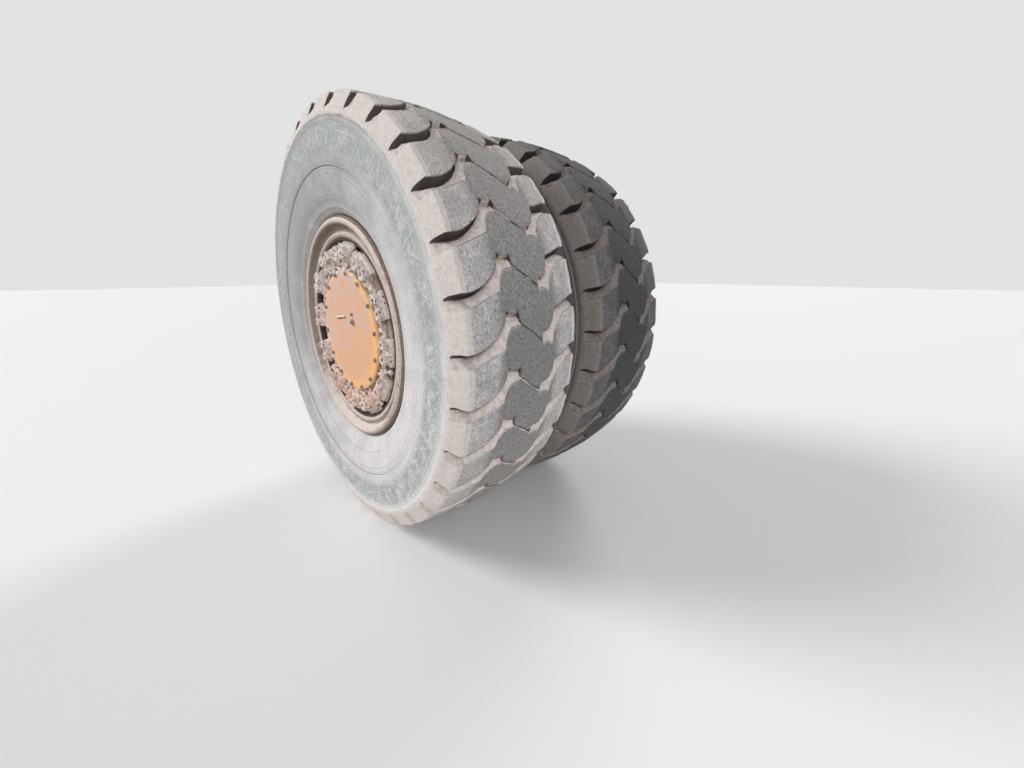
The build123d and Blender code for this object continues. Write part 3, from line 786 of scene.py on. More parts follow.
class Sculpt:
    """Shapes one bmesh with operators and makes it a piece of the wheel end."""

    # A clod's block, and the least and most of its three sides as shares of it
    CLOD_BLOCK = 1.7
    CLOD_SHAPE = ((0.7, 1.3), (0.5, 0.9), (0.7, 1.2))
    # Painted shade at a hole's middle, where anything over 1 is fully dark
    HOLE_SHADE = 1.6
    BEVEL_STEPS = 2
    BEVEL_FROM = math.radians(25.0)

    def __init__(self) -> None:
        """Starts an empty mesh."""
        self.bm = bmesh.new()

    def lathe(
        self,
        profile: Profile,
        steps: int,
        start: float = 0.0,
        sweep: float = TURN,
        closed: bool = True,
    ) -> None:
        """Turns a profile about the axle.

        Args:
            profile: Points as radius and place along the axle.
            steps: Steps round the sweep.
            start: Angle at which the sweep starts.
            sweep: Angle that it goes through.
            closed: Whether the profile's ends are joined.
        """
        points = [self.bm.verts.new(on_wheel(radius, along, start)) for radius, along in profile]
        pairs = list(zip(points, points[1:]))
        if closed:
            pairs.append((points[-1], points[0]))
        edges = [self.bm.edges.new(pair) for pair in pairs]
        full = abs(sweep - TURN) < SLACK
        bmesh.ops.spin(
            self.bm,
            geom=points + edges,
            cent=CENTRE,
            axis=AXLE,
            angle=-sweep,
            steps=steps,
            use_merge=full,
        )
        if not full and closed:
            rim = [edge for edge in self.bm.edges if edge.is_boundary]
            bmesh.ops.holes_fill(self.bm, edges=rim, sides=0)

    def prism(self, sides: int, radius: float, height: float, place: Matrix) -> None:
        """Adds a closed prism that stands on the placement and rises along its local Z."""
        lift = Matrix.Translation((0.0, 0.0, height / 2.0))
        bmesh.ops.create_cone(
            self.bm,
            cap_ends=True,
            segments=sides,
            radius1=radius,
            radius2=radius,
            depth=height,
            matrix=place @ lift,
        )

    def lump(self, size: float, place: Vector, pick: random.Random) -> None:
        """Adds one angular clod: a small block, unevenly scaled and freely turned.

        Args:
            size: Half of its rough size.
            place: Its middle.
            pick: The source of random numbers.
        """
        angle = pick.uniform(0.0, TURN)
        axis = Vector((pick.random(), pick.random(), pick.random() + 0.1))
        turn = Matrix.Rotation(angle, 4, axis)
        length, height, width = (pick.uniform(low, high) for low, high in self.CLOD_SHAPE)
        scale = Matrix.Diagonal((length, height, width, 1.0))
        spot = Matrix.Translation(place)
        bmesh.ops.create_cube(self.bm, size=size * self.CLOD_BLOCK, matrix=spot @ turn @ scale)

    def soften(self, width: float) -> None:
        """Bevels every edge that is sharper than BEVEL_FROM by a width."""
        bmesh.ops.recalc_face_normals(self.bm, faces=self.bm.faces)
        sharp = [
            edge
            for edge in self.bm.edges
            if edge.is_manifold and abs(edge.calc_face_angle(0.0)) > self.BEVEL_FROM
        ]
        bmesh.ops.bevel(
            self.bm,
            geom=sharp,
            offset=width,
            offset_type="OFFSET",
            affect="EDGES",
            segments=self.BEVEL_STEPS,
            profile=0.5,
            material=-1,
            clamp_overlap=True,
        )

    def fuse(self, voxel: float) -> None:
        """Fuses what overlaps into one skin of even small faces."""
        mesh = bpy.data.meshes.new("to_fuse")
        self.bm.to_mesh(mesh)
        holder = bpy.data.objects.new("to_fuse", mesh)
        bpy.context.scene.collection.objects.link(holder)
        remesh = holder.modifiers.new("fuse", "REMESH")
        remesh.mode = "VOXEL"
        remesh.voxel_size = voxel
        view = bpy.context.evaluated_depsgraph_get()
        skin = bpy.data.meshes.new_from_object(holder.evaluated_get(view))
        self.bm.clear()
        self.bm.from_mesh(skin)
        bpy.data.objects.remove(holder)
        bpy.data.meshes.remove(mesh)
        bpy.data.meshes.remove(skin)

    def roughen(
        self,
        patch: float,
        depth: float,
        seed: float,
        where: Callable[[Vector], float] | None = None,
        bias: float = 0.0,
    ) -> None:
        """Moves each point along its normal by a noise.

        Args:
            patch: Size of the noise's patches.
            depth: Largest move either way.
            seed: Shift that gives another pattern.
            where: Share of the move at a point, or None for all of it.
            bias: Share of the depth by which everything moves inwards.
        """
        self.bm.normal_update()
        shift = Vector((seed, seed * 0.7, -seed))
        moves = []
        for vert in self.bm.verts:
            share = where(vert.co) if where else 1.0
            level = noise.noise(vert.co / patch + shift) - bias
            moves.append(vert.normal * (level * depth * share))
        for vert, move in zip(self.bm.verts, moves):
            vert.co += move

    def pit(self, count: int, radius: float, depth: float, pick: random.Random) -> None:
        """Presses small round holes into the surface.

        Args:
            count: Number of holes.
            radius: Radius of a hole.
            depth: Its depth.
            pick: The source of random numbers.
        """
        self.bm.normal_update()
        verts = list(self.bm.verts)
        tree = kdtree.KDTree(len(verts))
        for index, vert in enumerate(verts):
            tree.insert(vert.co, index)
        tree.balance()
        moves: dict[int, Vector] = {}
        for _ in range(count):
            middle = verts[pick.randrange(len(verts))]
            inward = -middle.normal
            for _place, index, distance in tree.find_range(middle.co, radius):
                share = 1.0 - (distance / radius) ** 2
                moves[index] = inward * depth * share
        for index, move in moves.items():
            verts[index].co += move

    def shade_hollows(self, reach: float, holes: Sequence[Vector] = (), radius: float = 0.012) -> None:
        """Stores on each point how far it lies in a hollow, as the attribute hollow, which the mud's
        finish paints as shade.

        Args:
            reach: Depth below the points around at which its painted shade is full.
            holes: Places that get full painted shade as well.
            radius: Size of such a place.
        """
        self.bm.normal_update()
        layer = self.bm.verts.layers.float.new("hollow")
        for vert in self.bm.verts:
            around = [edge.other_vert(vert).co for edge in vert.link_edges]
            middle = sum(around, Vector()) / max(len(around), 1)
            vert[layer] = min(max((middle - vert.co).dot(vert.normal) / reach, 0.0), 1.0)
        for vert in self.bm.verts:
            for hole in holes:
                share = self.HOLE_SHADE * (1.0 - (vert.co - hole).length / radius)
                if share > 0.0:
                    vert[layer] = min(max(vert[layer], share), 1.0)

    def press(self, holes: Sequence[Vector], radius: float, depth: float) -> None:
        """Presses a round hole inboard at each of the places.

        Args:
            holes: The middles of the holes' mouths.
            radius: Radius of a hole.
            depth: Its depth.
        """
        for vert in self.bm.verts:
            for hole in holes:
                off = vert.co - hole
                across = math.hypot(off.x, off.z)
                if across < radius and abs(off.y) < depth:
                    vert.co.y += depth * (1.0 - (across / radius) ** 4)
                    break

    def piece(
        self,
        name: str,
        finish: Finish,
        slot: Slot,
        replaces: Iterable[str] = (),
    ) -> None:
        """Makes the mesh a piece that rides on the wheel.

        Args:
            name: Name of the piece.
            finish: Its finish.
            slot: The record's slot for its finish; not used.
            replaces: CAD nodes that it stands for.
        """
        bmesh.ops.recalc_face_normals(self.bm, faces=self.bm.faces)
        for edge in self.bm.edges:
            edge.smooth = not edge.is_manifold or edge.calc_face_angle(0.0) < SHARP_ANGLE
        mesh = bpy.data.meshes.new(name)
        self.bm.to_mesh(mesh)
        self.bm.free()
        mesh.materials.append(finish.material())
        mesh.shade_smooth()
        piece = bpy.data.objects.new(name, mesh)
        bpy.context.scene.collection.objects.link(piece)
        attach(piece, WHEEL)
        if replaces:
            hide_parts(*replaces)
        LOG.info("%s: %d faces", name, len(mesh.polygons))


class Column(NamedTuple):
    """One column of the tread's grid: its angle, its depth, and how much of each finish, painted shade
    and painted highlight shows there.
    """

    angle: float
    depth: float = 0.0
    mud: float = 0.0
    flat: float = 0.0
    shade: float = 0.0
    edge: float = 0.0


@dataclass
class Tyre:
    """One lugged tyre, made from one tread pitch that is repeated round the wheel.

    Distances out are outboard of the tyre's centre plane.  A groove's edges are
    given as pairs of that distance and the place round the tread, and the
    inboard grooves are the same ones turned half round, a little further on.
    """

    name: str
    node: str
    finish: Finish
    seed: float
    pitches: int = 32
    phase: float = math.radians(-3.1)
    stagger: float = math.radians(-5.7)
    crown_drop: float = 0.030
    crown_power: float = 2.2
    half_face: float = 0.400
    half_shoulder: float = 0.442
    edge_radius: float = 1.406
    shoulder_radius: float = 1.312
    shoulder_power: float = 1.15
    side_fade: float = 0.12
    floor_inner: tuple[float, float] = (0.188, 1.380)
    floor_exit: tuple[float, float] = (0.442, 1.318)
    # Out from the middle: the pocket's inner and outer end, and the shade on its wall
    # where no notch is cut
    pocket_end: float = 0.087
    pocket_outer: float = 0.171
    pocket_shade: float = 0.22
    notch_from: float = 0.015
    # The narrow cut across the middle that joins the pockets
    sipe_start: float = 0.080
    sipe_width: float = 0.004
    sipe_depth: float = 0.006
    upper_edge: Profile = (
        (0.078, 0.002),
        (0.084, 0.003),
        (0.088, 0.019),
        (0.093, 0.019),
        (0.097, 0.004),
        (0.156, 0.009),
        (0.159, 0.025),
        (0.167, 0.025),
        (0.169, 0.006),
        (0.174, -0.020),
        (0.188, -0.045),
        (0.210, -0.074),
        (0.243, -0.103),
        (0.276, -0.126),
        (0.308, -0.143),
        (0.342, -0.153),
        (0.388, -0.157),
        (0.433, -0.156),
        (0.458, -0.158),
    )
    lower_edge: Profile = (
        (0.078, -0.040),
        (0.094, -0.043),
        (0.142, -0.050),
        (0.163, -0.072),
        (0.180, -0.104),
        (0.188, -0.152),
        (0.221, -0.168),
        (0.256, -0.178),
        (0.337, -0.211),
        (0.428, -0.236),
        (0.458, -0.242),
    )
    side: Profile = (
        (0.4430, 1.290),
        (0.4436, 1.270),
        (0.4432, 1.2580),
        (0.4452, 1.2545),
        (0.4432, 1.2510),
        (0.4438, 1.238),
        (0.4446, 1.215),
        (0.4450, 1.185),
        (0.4448, 1.155),
        (0.4442, 1.125),
        (0.4430, 1.095),
        (0.4412, 1.065),
        (0.4390, 1.038),
        (0.4380, 1.031),
        (0.4330, 1.027),
        (0.4325, 1.000),
        (0.4315, 0.970),
        (0.4280, 0.938),
        (0.4220, 0.905),
        (0.4130, 0.872),
        (0.4040, 0.846),
        (0.4005, 0.842),
        (0.3985, 0.836),
        (0.388, 0.812),
        (0.387, 0.806),
        (0.380, 0.800),
        (0.371, 0.784),
        (0.361, 0.772),
        (0.350, 0.7665),
        (0.338, 0.7580),
        (0.317, 0.7200),
        (0.317, 0.7000),
        (0.317, 0.648),
        (0.212, 0.648),
        (0.254, 0.770),
        (0.386, 1.028),
        (0.296, 1.246),
    )
    tread_stations: Sequence[float] = (
        0.442,
        0.437,
        0.429,
        0.421,
        0.413,
        0.406,
        0.400,
        0.392,
        0.378,
        0.360,
        0.342,
        0.325,
        0.308,
        0.292,
        0.276,
        0.260,
        0.243,
        0.228,
        0.214,
        0.202,
        0.193,
        0.187,
        0.182,
        0.177,
        0.172,
        0.167,
        0.158,
        0.144,
        0.128,
        0.112,
        0.100,
        0.093,
        0.088,
        0.084,
        0.080,
        0.066,
        0.050,
        0.034,
        0.017,
    )
    # The wall under the upper edge: distance down, most share of the width, fall and shade
    groove_wall: Sequence[tuple[float, float, float, float]] = (
        (0.000, 0.00, 0.04, 0.1),
        (0.003, 0.12, 0.55, 1.0),
        (0.008, 0.24, 0.95, 0.9),
        (0.019, 0.38, 0.84, 0.0),
    )
    # The floor: share of the way to the far wall, and fall
    groove_ramp: Sequence[tuple[float, float]] = ((0.33, 0.52), (0.68, 0.34))
    # The wall over the lower edge: distance up, most share of the width, and fall
    far_wall: Sequence[tuple[float, float, float]] = (
        (0.010, 0.28, 0.25),
        (0.003, 0.12, 0.18),
        (0.000, 0.00, 0.05),
    )
    attributes: Sequence[str] = ("mud", "flat", "shade", "edge", "shoulder", "centre")
    centre_width: float = 0.238
    centre_fade: float = 0.05
    shoulder_fade: float = 0.045
    lug_edge: Sequence[float] = (0.005, 0.015)
    lug_inner: int = 7
    lug_round: float = 0.0015
    # Shares of the finishes: painted highlight on a lug's first edge, mud and painted shade that reach
    # the next groove's edge, painted shade in the narrow cut, and the fall at which mud is full
    first_edge_highlight: float = 0.8
    next_trace: float = 0.1
    sipe_shade: float = 0.6
    mud_full: float = 0.2
    # Limits of the face and the shoulder in the outline, and the least depth of a cut
    face_slack: float = 0.0001
    shoulder_below: float = 0.03
    shoulder_above: float = 0.004
    least_cut: float = 0.004
    weld: float = 0.0003
    # Chips and chunks: most move, how it fades below the shoulder, its share on the side,
    # the share by which all is worn down, and each pattern's patch and shift
    chip: float = 0.0042
    chip_below: float = 0.02
    chip_fade: float = 0.05
    chip_on_side: float = 0.12
    sunk: float = 0.55
    chip_patches: Sequence[tuple[float, float]] = ((0.030, 0.0), (0.16, 3.0))

    def __post_init__(self) -> None:
        """Reads the tyre's place and radius from the frame."""
        low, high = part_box(self.node)
        self.plane = (low.y + high.y) / 2.0
        self.radius = high.z
        self.pitch = TURN / self.pitches

    @staticmethod
    def along_table(table: Profile, out: float) -> float:
        """Reads a table of pairs at a distance, in straight lines between its rows."""
        for (near, low), (far, high) in zip(table, table[1:]):
            if out <= far:
                share = min(max((out - near) / (far - near), 0.0), 1.0)
                return low + (high - low) * share
        return table[-1][1]

    def top(self, out: float) -> float:
        """Gives the radius of the worn tread face, or of the shoulder beyond its edge."""
        out = abs(out)
        if out <= self.half_face:
            return self.radius - self.crown_drop * (out / self.half_face) ** self.crown_power
        share = (out - self.half_face) / (self.half_shoulder - self.half_face)
        fall = self.edge_radius - self.shoulder_radius
        return self.edge_radius - fall * share ** self.shoulder_power

    def floor(self, out: float) -> float:
        """Gives the radius of a groove's floor."""
        (near, high), (far, low) = self.floor_inner, self.floor_exit
        return high + (low - high) * (abs(out) - near) / (far - near)

    def groove(self, out: float) -> tuple[float, float, float]:
        """Gives a groove's upper and lower edge as angles, and its depth, at a distance out.

        Args:
            out: Distance outboard of the centre plane, negative on the inboard side.

        Returns:
            Angle of the upper edge, angle of the lower edge, and depth of the floor.
        """
        reach = abs(out)
        upper = self.along_table(self.upper_edge, reach) / TREAD_REACH
        lower = self.along_table(self.lower_edge, reach) / TREAD_REACH
        depth = max(self.top(out) - self.floor(out), 0.0)
        if reach < self.pocket_end:
            share = max((reach - self.sipe_start) / (self.pocket_end - self.sipe_start), 0.0)
            width = self.sipe_width / TREAD_REACH
            if out > 0.0:
                upper = lower + width + (upper - lower - width) * share
            else:
                lower = upper - width + (lower - upper + width) * share
            depth = self.sipe_depth + (depth - self.sipe_depth) * share
        if out < 0.0:
            upper, lower = -lower + self.stagger, -upper + self.stagger
        if reach < self.sipe_start:
            edge_out, edge_in = self.groove(self.sipe_start), self.groove(-self.sipe_start)
            share = (self.sipe_start - out) / (2.0 * self.sipe_start)
            upper = edge_out[0] + (edge_in[0] - edge_out[0]) * share
            lower = edge_out[1] + (edge_in[1] - edge_out[1]) * share
        return upper, lower, depth

    def columns(self, out: float) -> list[Column]:
        """Gives one pitch's columns at a distance out.

        Args:
            out: Distance outboard of the centre plane.

        Returns:
            The columns, from a groove's upper edge down and round to the next one.
        """
        upper, lower, depth = self.groove(out)
        width = (upper - lower) * TREAD_REACH
        near, far = self.groove_wall, self.far_wall
        open_cut = 1.0 if abs(out) > (self.sipe_start + self.pocket_end) / 2.0 else 0.0
        dark = 1.0 if open_cut else self.sipe_shade
        notched = self.along_table(self.upper_edge, abs(out)) > self.notch_from
        if open_cut and abs(out) < self.pocket_outer and not notched:
            dark = self.pocket_shade
        offsets = [(min(step, width * share), fall, shade * dark) for step, share, fall, shade in near]
        first, last = offsets[-1][0], width - min(far[0][0], width * far[0][1])
        offsets += [(first + (last - first) * share, fall, 0.0) for share, fall in self.groove_ramp]
        offsets += [(width - min(step, width * share), fall, 0.0) for step, share, fall in far]
        rows = []
        for step, fall, shade in offsets:
            mud = min(fall / self.mud_full, 1.0) * open_cut
            rows.append(Column(upper - step / TREAD_REACH, depth * fall, mud=mud, shade=shade))
        # The groove's far edge takes the painted highlight
        rows[-1] = rows[-1]._replace(edge=open_cut)
        start, end = lower, upper - self.pitch
        span = (start - end) * TREAD_REACH
        margin = self.lug_edge[-1]
        places = range(1, self.lug_inner + 1)
        inner = [margin + (span - 2.0 * margin) * i / (self.lug_inner + 1) for i in places]
        steps = [*self.lug_edge, *inner, *(span - step for step in reversed(self.lug_edge))]
        for index, step in enumerate(steps):
            rounded = self.lug_round if min(step, span - step) < margin * 0.9 else 0.0
            edge = self.first_edge_highlight * open_cut if index == 0 else 0.0
            rows.append(Column(start - step / TREAD_REACH, rounded, flat=1.0, edge=edge))
        rows.append(Column(end, depth * near[0][2], mud=self.next_trace, shade=self.next_trace))
        return rows

    def stations(self) -> list[tuple[float, float]]:
        """Gives the closed outline, as out and radius, round the outboard half and back."""
        half = [(out, self.top(out)) for out in reversed(self.tread_stations)] + list(self.side)
        other = [(-out, radius) for out, radius in reversed(half)]
        return [(0.0, self.radius)] + half + other + [(0.0, self.radius)]

    def blend_columns(self, out: float, radius: float) -> list[Column]:
        """Gives the columns of a station, plain where it is below the shoulder."""
        edge = math.copysign(min(abs(out), self.half_shoulder), out)
        rows = self.columns(edge)
        if radius >= self.shoulder_radius - SLACK and abs(out) <= self.half_shoulder + SLACK:
            return rows
        first = rows[0].angle
        even = self.pitch / (len(rows) - 1)
        fade = min(max((self.shoulder_radius - radius) / self.side_fade, 0.0), 1.0)
        angles = [row.angle + (first - even * i - row.angle) * fade for i, row in enumerate(rows)]
        return [Column(angle) for angle in angles]

    def one_pitch(self, sculpt: Sculpt) -> None:
        """Lays a grid over one pitch and moves its points to the worn lugs and grooves."""
        stations = self.stations()
        table = [self.blend_columns(out, radius) for out, radius in stations]
        across, down = len(stations) - 1, len(table[0]) - 1
        bm = sculpt.bm
        layers = {name: bm.verts.layers.float.new(name) for name in self.attributes}
        bmesh.ops.create_grid(bm, x_segments=across, y_segments=down, size=0.5)
        for vert in bm.verts:
            i = round((vert.co.x + 0.5) * across)
            j = round((vert.co.y + 0.5) * down)
            out, radius = stations[i]
            column = table[i][j]
            on_face = radius >= self.edge_radius - self.face_slack
            above_side = self.shoulder_radius - self.shoulder_below < radius
            on_shoulder = above_side and radius < self.edge_radius + self.shoulder_above
            cut = column.depth > self.least_cut or on_face
            vert[layers["mud"]] = column.mud if cut else 0.0
            vert[layers["shade"]] = column.shade if cut else 0.0
            vert[layers["edge"]] = column.edge
            vert[layers["flat"]] = column.flat if on_face else 0.0
            worn = 1.0 - (self.half_face - abs(out)) / self.shoulder_fade
            vert[layers["shoulder"]] = 1.0 if on_shoulder else max(worn, 0.0) if on_face else 0.0
            middle = (self.centre_width - abs(out)) / self.centre_fade
            vert[layers["centre"]] = min(max(middle, 0.0), 1.0)
            vert.co = on_wheel(radius - column.depth, self.plane - out, column.angle + self.phase)

    def worn(self, point: Vector) -> float:
        """Gives how much chips and chunks show at a point: most at the tread, least on the side."""
        radius = math.hypot(point.x, point.z)
        above = radius - self.shoulder_radius + self.chip_below
        return min(max(above / self.chip_fade, self.chip_on_side), 1.0)

    def build(self) -> None:
        """Makes the tyre's piece in place of its CAD node."""
        sculpt = Sculpt()
        self.one_pitch(sculpt)
        bm = sculpt.bm
        bmesh.ops.spin(
            bm,
            geom=bm.verts[:] + bm.edges[:] + bm.faces[:],
            cent=CENTRE,
            axis=AXLE,
            angle=TURN - self.pitch,
            steps=self.pitches - 1,
            use_duplicate=True,
        )
        bmesh.ops.remove_doubles(bm, verts=bm.verts, dist=self.weld)
        for patch, shift in self.chip_patches:
            sculpt.roughen(patch, self.chip, self.seed + shift, self.worn, self.sunk)
        sculpt.piece(self.name, self.finish, Slot.TYRE, [self.node])


@dataclass
class SideFlange:
    """One loose side flange of a rim, with its rolled lip and hollow face."""

    node: str
    steps: int = 160
    buckle: float = 0.0012
    buckle_patch: float = 0.09
    # Each point: rise from the bead seat, and distance out from the seat against the bead
    section: Profile = (
        (0.0003, 0.000),
        (0.0003, 0.022),
        (0.014, 0.022),
        (0.025, 0.0225),
        (0.034, 0.025),
        (0.042, 0.031),
        (0.049, 0.040),
        (0.055, 0.050),
        (0.061, 0.0595),
        (0.067, 0.0660),
        (0.074, 0.0695),
        (0.082, 0.0700),
        (0.089, 0.0675),
        (0.096, 0.0625),
        (0.103, 0.0565),
        (0.109, 0.0500),
        (0.113, 0.0440),
        (FLANGE_HEIGHT, 0.0400),
        (0.112, 0.0385),
        (0.100, 0.0310),
        (0.080, 0.0150),
        (0.0543, 0.000),
    )

    def build(self, face: float, outward: float) -> None:
        """Makes the flange's piece.

        Args:
            face: Place along the axle of the flange's seat against the tyre's bead.
            outward: -1 on the rim's outboard side and 1 on its inboard side.
        """
        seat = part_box(self.node)[1].z - FLANGE_HEIGHT
        profile = [(seat + rise, face + outward * out) for rise, out in self.section]
        sculpt = Sculpt()
        sculpt.lathe(profile, self.steps)
        sculpt.roughen(self.buckle_patch, self.buckle, face)
        name = self.node.replace("flange", "rolled_flange")
        sculpt.piece(name, Finish.RIM, Slot.RIM, [self.node])


@dataclass
class RimRings:
    """The bead seat band and the split lock ring of one rim, with their rounded noses.

    Each section is a radius and a distance beyond the rim's end.
    """

    row: str
    steps: int = 160
    overhang: float = 0.3439
    split: float = 0.008
    buckle: float = 0.0008
    buckle_patch: float = 0.07
    band: Profile = (
        (0.6233, -0.1464),
        (0.6233, -0.0280),
        (0.6383, -0.0280),
        (0.6383, 0.0022),
        (0.6400, 0.0042),
        (0.6440, 0.0060),
        (0.6500, 0.0070),
        (0.6555, 0.0062),
        (0.6595, 0.0035),
        (0.6610, -0.0010),
        (0.6610, -0.0041),
        (0.6477, -0.0041),
        (0.6477, -0.0264),
        (0.6372, -0.1464),
    )
    ring: Profile = (
        (0.6183, -0.0097),
        (0.6183, -0.0277),
        (0.6380, -0.0277),
        (0.6380, 0.0012),
        (0.6366, 0.0020),
        (0.6338, 0.0016),
        (0.6310, -0.0010),
        (0.6296, -0.0045),
        (0.6293, -0.0097),
    )

    def build(self, plane: float) -> None:
        """Makes both pieces.

        Args:
            plane: Place along the axle of the rim's centre plane.
        """
        end = plane - self.overhang
        band = Sculpt()
        band.lathe([(radius, end - out) for radius, out in self.band], self.steps)
        band.roughen(self.buckle_patch, self.buckle, plane)
        band.piece(f"{self.row}_bead_seat_band", Finish.RIM, Slot.RIM, [f"{self.row}_bead_band"])
        gap = self.split / self.ring[0][0]
        start = gap / 2.0 - TURN / 4.0
        ring = Sculpt()
        ring.lathe([(radius, end - out) for radius, out in self.ring], self.steps, start, TURN - gap)
        ring.piece(f"{self.row}_split_ring", Finish.RIM, Slot.RIM, [f"{self.row}_lock_ring"])


@dataclass
class ClampRing:
    """The ring of wedge clamps, their studs and nuts, and the mud that is caked on them."""

    clamps: int = 12
    first: float = math.radians(22.2)
    spread: float = math.radians(10.4)
    span: float = math.radians(17.5)
    heel: float = 0.481
    stud_circle: float = 0.535
    toe: float = 0.6127
    nut_radius: float = 0.034
    nut_height: float = 0.038
    stud_hole: float = 0.014
    stud_depth: float = 0.014
    voxel: float = 0.0042
    casting_steps: int = 6
    # Clods on each casting: number, sizes, margins at heel and toe, place inboard of the
    # clamps' face, and place across the casting as shares of its span
    cakes: int = 7
    cake_sizes: Span = (0.009, 0.019)
    cake_margins: Span = (0.006, 0.052)
    cake_inboard: Span = (-0.002, 0.008)
    cake_spread: Span = (-0.45, 0.45)
    # Clods between the castings: arcs in degrees, number in each, sizes, margins, place
    # inboard, and how much further inboard they lie for each metre out from the heel
    filled: Sequence[Span] = ((58.0, 128.0), (214.0, 346.0))
    fill_clods: int = 120
    fill_sizes: Span = (0.012, 0.022)
    fill_margins: Span = (0.004, 0.016)
    fill_inboard: Span = (-0.002, 0.012)
    fill_slope: float = 0.14
    # Clods round each nut: number, sizes, distance from the stud, and least and most lift,
    # the most as a share of the nut's height
    nut_clods: tuple[int, int] = (1, 3)
    nut_clod_sizes: Span = (0.008, 0.016)
    nut_clod_reach: Span = (0.022, 0.034)
    nut_clod_lift: Span = (0.002, 0.55)
    # The nuts under their crust: numbers of sides to choose from, growth, extra height,
    # tilt, foot inboard of the clamps' face, and shift of the hole at the stud's end
    nut_sides: Sequence[int] = (4, 5, 6, 6)
    nut_growth: Span = (1.0, 1.18)
    nut_extra: float = 0.014
    nut_tilt: float = 0.12
    nut_foot: float = 0.004
    hole_shift: float = 0.004
    # The crust, coarse and fine: size of a patch, depth and shift of its pattern
    casting_crust: Sequence[tuple[float, float, float]] = ((0.055, 0.004, 1.0), (0.012, 0.0022, 5.0))
    nut_crust: Sequence[tuple[float, float, float]] = ((0.050, 0.003, 2.0), (0.011, 0.0018, 6.0))
    # Small pits pressed into the crust, and the depth at which a hollow's painted shade is full
    pits: int = 130
    pit_radius: float = 0.0085
    casting_pit: float = 0.010
    nut_pit: float = 0.009
    hollow_shade_reach: float = 0.0012
    # The painted shade at a stud's end: its depth and size as shares of the hole's
    hole_dark_from: float = 0.7
    hole_dark_size: float = 1.25

    def __post_init__(self) -> None:
        """Reads the clamps' outer face and back from the frame."""
        low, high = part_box("rim_clamps")
        self.front = low.y
        self.back = high.y
        self.random = random.Random(7)

    def angles(self) -> list[float]:
        """Gives the middle angle of each clamp."""
        return [self.first + TURN / self.clamps * i for i in range(self.clamps)]

    def casting(self, sculpt: Sculpt, middle: float) -> None:
        """Adds one clamp's casting."""
        front, back = self.front, self.back
        # Round the section: heel, outer face, the slope and step to the toe, and the back
        section = [
            (self.heel, front + 0.034),
            (self.heel, front + 0.010),
            (self.heel + 0.012, front),
            (self.toe - 0.036, front),
            (self.toe - 0.026, front + 0.010),
            (self.toe - 0.022, front + 0.026),
            (self.toe - 0.001, front + 0.029),
            (self.toe - 0.012, back - 0.001),
            (self.toe - 0.050, back - 0.001),
            (self.toe - 0.053, front + 0.034),
        ]
        sculpt.lathe(section, self.casting_steps, middle - self.span / 2.0, self.span)

    def fill(self, sculpt: Sculpt) -> None:
        """Fills the gaps between the clamps with clods where the mud has caked over them."""
        pick = self.random
        by_heel, by_toe = self.fill_margins
        for start, end in self.filled:
            for _ in range(self.fill_clods):
                size = pick.uniform(*self.fill_sizes)
                radius = pick.uniform(self.heel + by_heel, self.toe - by_toe - size)
                angle = math.radians(pick.uniform(start, end))
                slope = (radius - self.heel) * self.fill_slope
                along = self.front + slope + pick.uniform(*self.fill_inboard)
                sculpt.lump(size, on_wheel(radius, along, angle), pick)

    def build_castings(self) -> None:
        """Makes the clamps with a crust of mud between and beside the nuts."""
        sculpt = Sculpt()
        pick = self.random
        by_heel, by_toe = self.cake_margins
        for middle in self.angles():
            self.casting(sculpt, middle)
            for _ in range(self.cakes):
                size = pick.uniform(*self.cake_sizes)
                radius = pick.uniform(self.heel + by_heel, self.toe - by_toe)
                angle = middle + pick.uniform(*self.cake_spread) * self.span
                along = self.front + pick.uniform(*self.cake_inboard)
                sculpt.lump(size, on_wheel(radius, along, angle), pick)
        self.fill(sculpt)
        sculpt.fuse(self.voxel)
        for patch, depth, shift in self.casting_crust:
            sculpt.roughen(patch, depth, shift)
        sculpt.pit(self.pits, self.pit_radius, self.casting_pit, pick)
        sculpt.shade_hollows(self.hollow_shade_reach)
        sculpt.piece("caked_clamps", Finish.MUD, Slot.MUD, ["rim_clamps"])

    def nut_crumbs(self, sculpt: Sculpt, angle: float) -> None:
        """Adds a few clods round the nut at an angle."""
        pick = self.random
        lowest, share = self.nut_clod_lift
        for _ in range(pick.randint(*self.nut_clods)):
            around = pick.uniform(0.0, TURN)
            reach = pick.uniform(*self.nut_clod_reach)
            radius = self.stud_circle + reach * math.cos(around)
            turned = angle + reach * math.sin(around) / self.stud_circle
            along = self.front - pick.uniform(lowest, self.nut_height * share)
            size = pick.uniform(*self.nut_clod_sizes)
            sculpt.lump(size, on_wheel(radius, along, turned), pick)

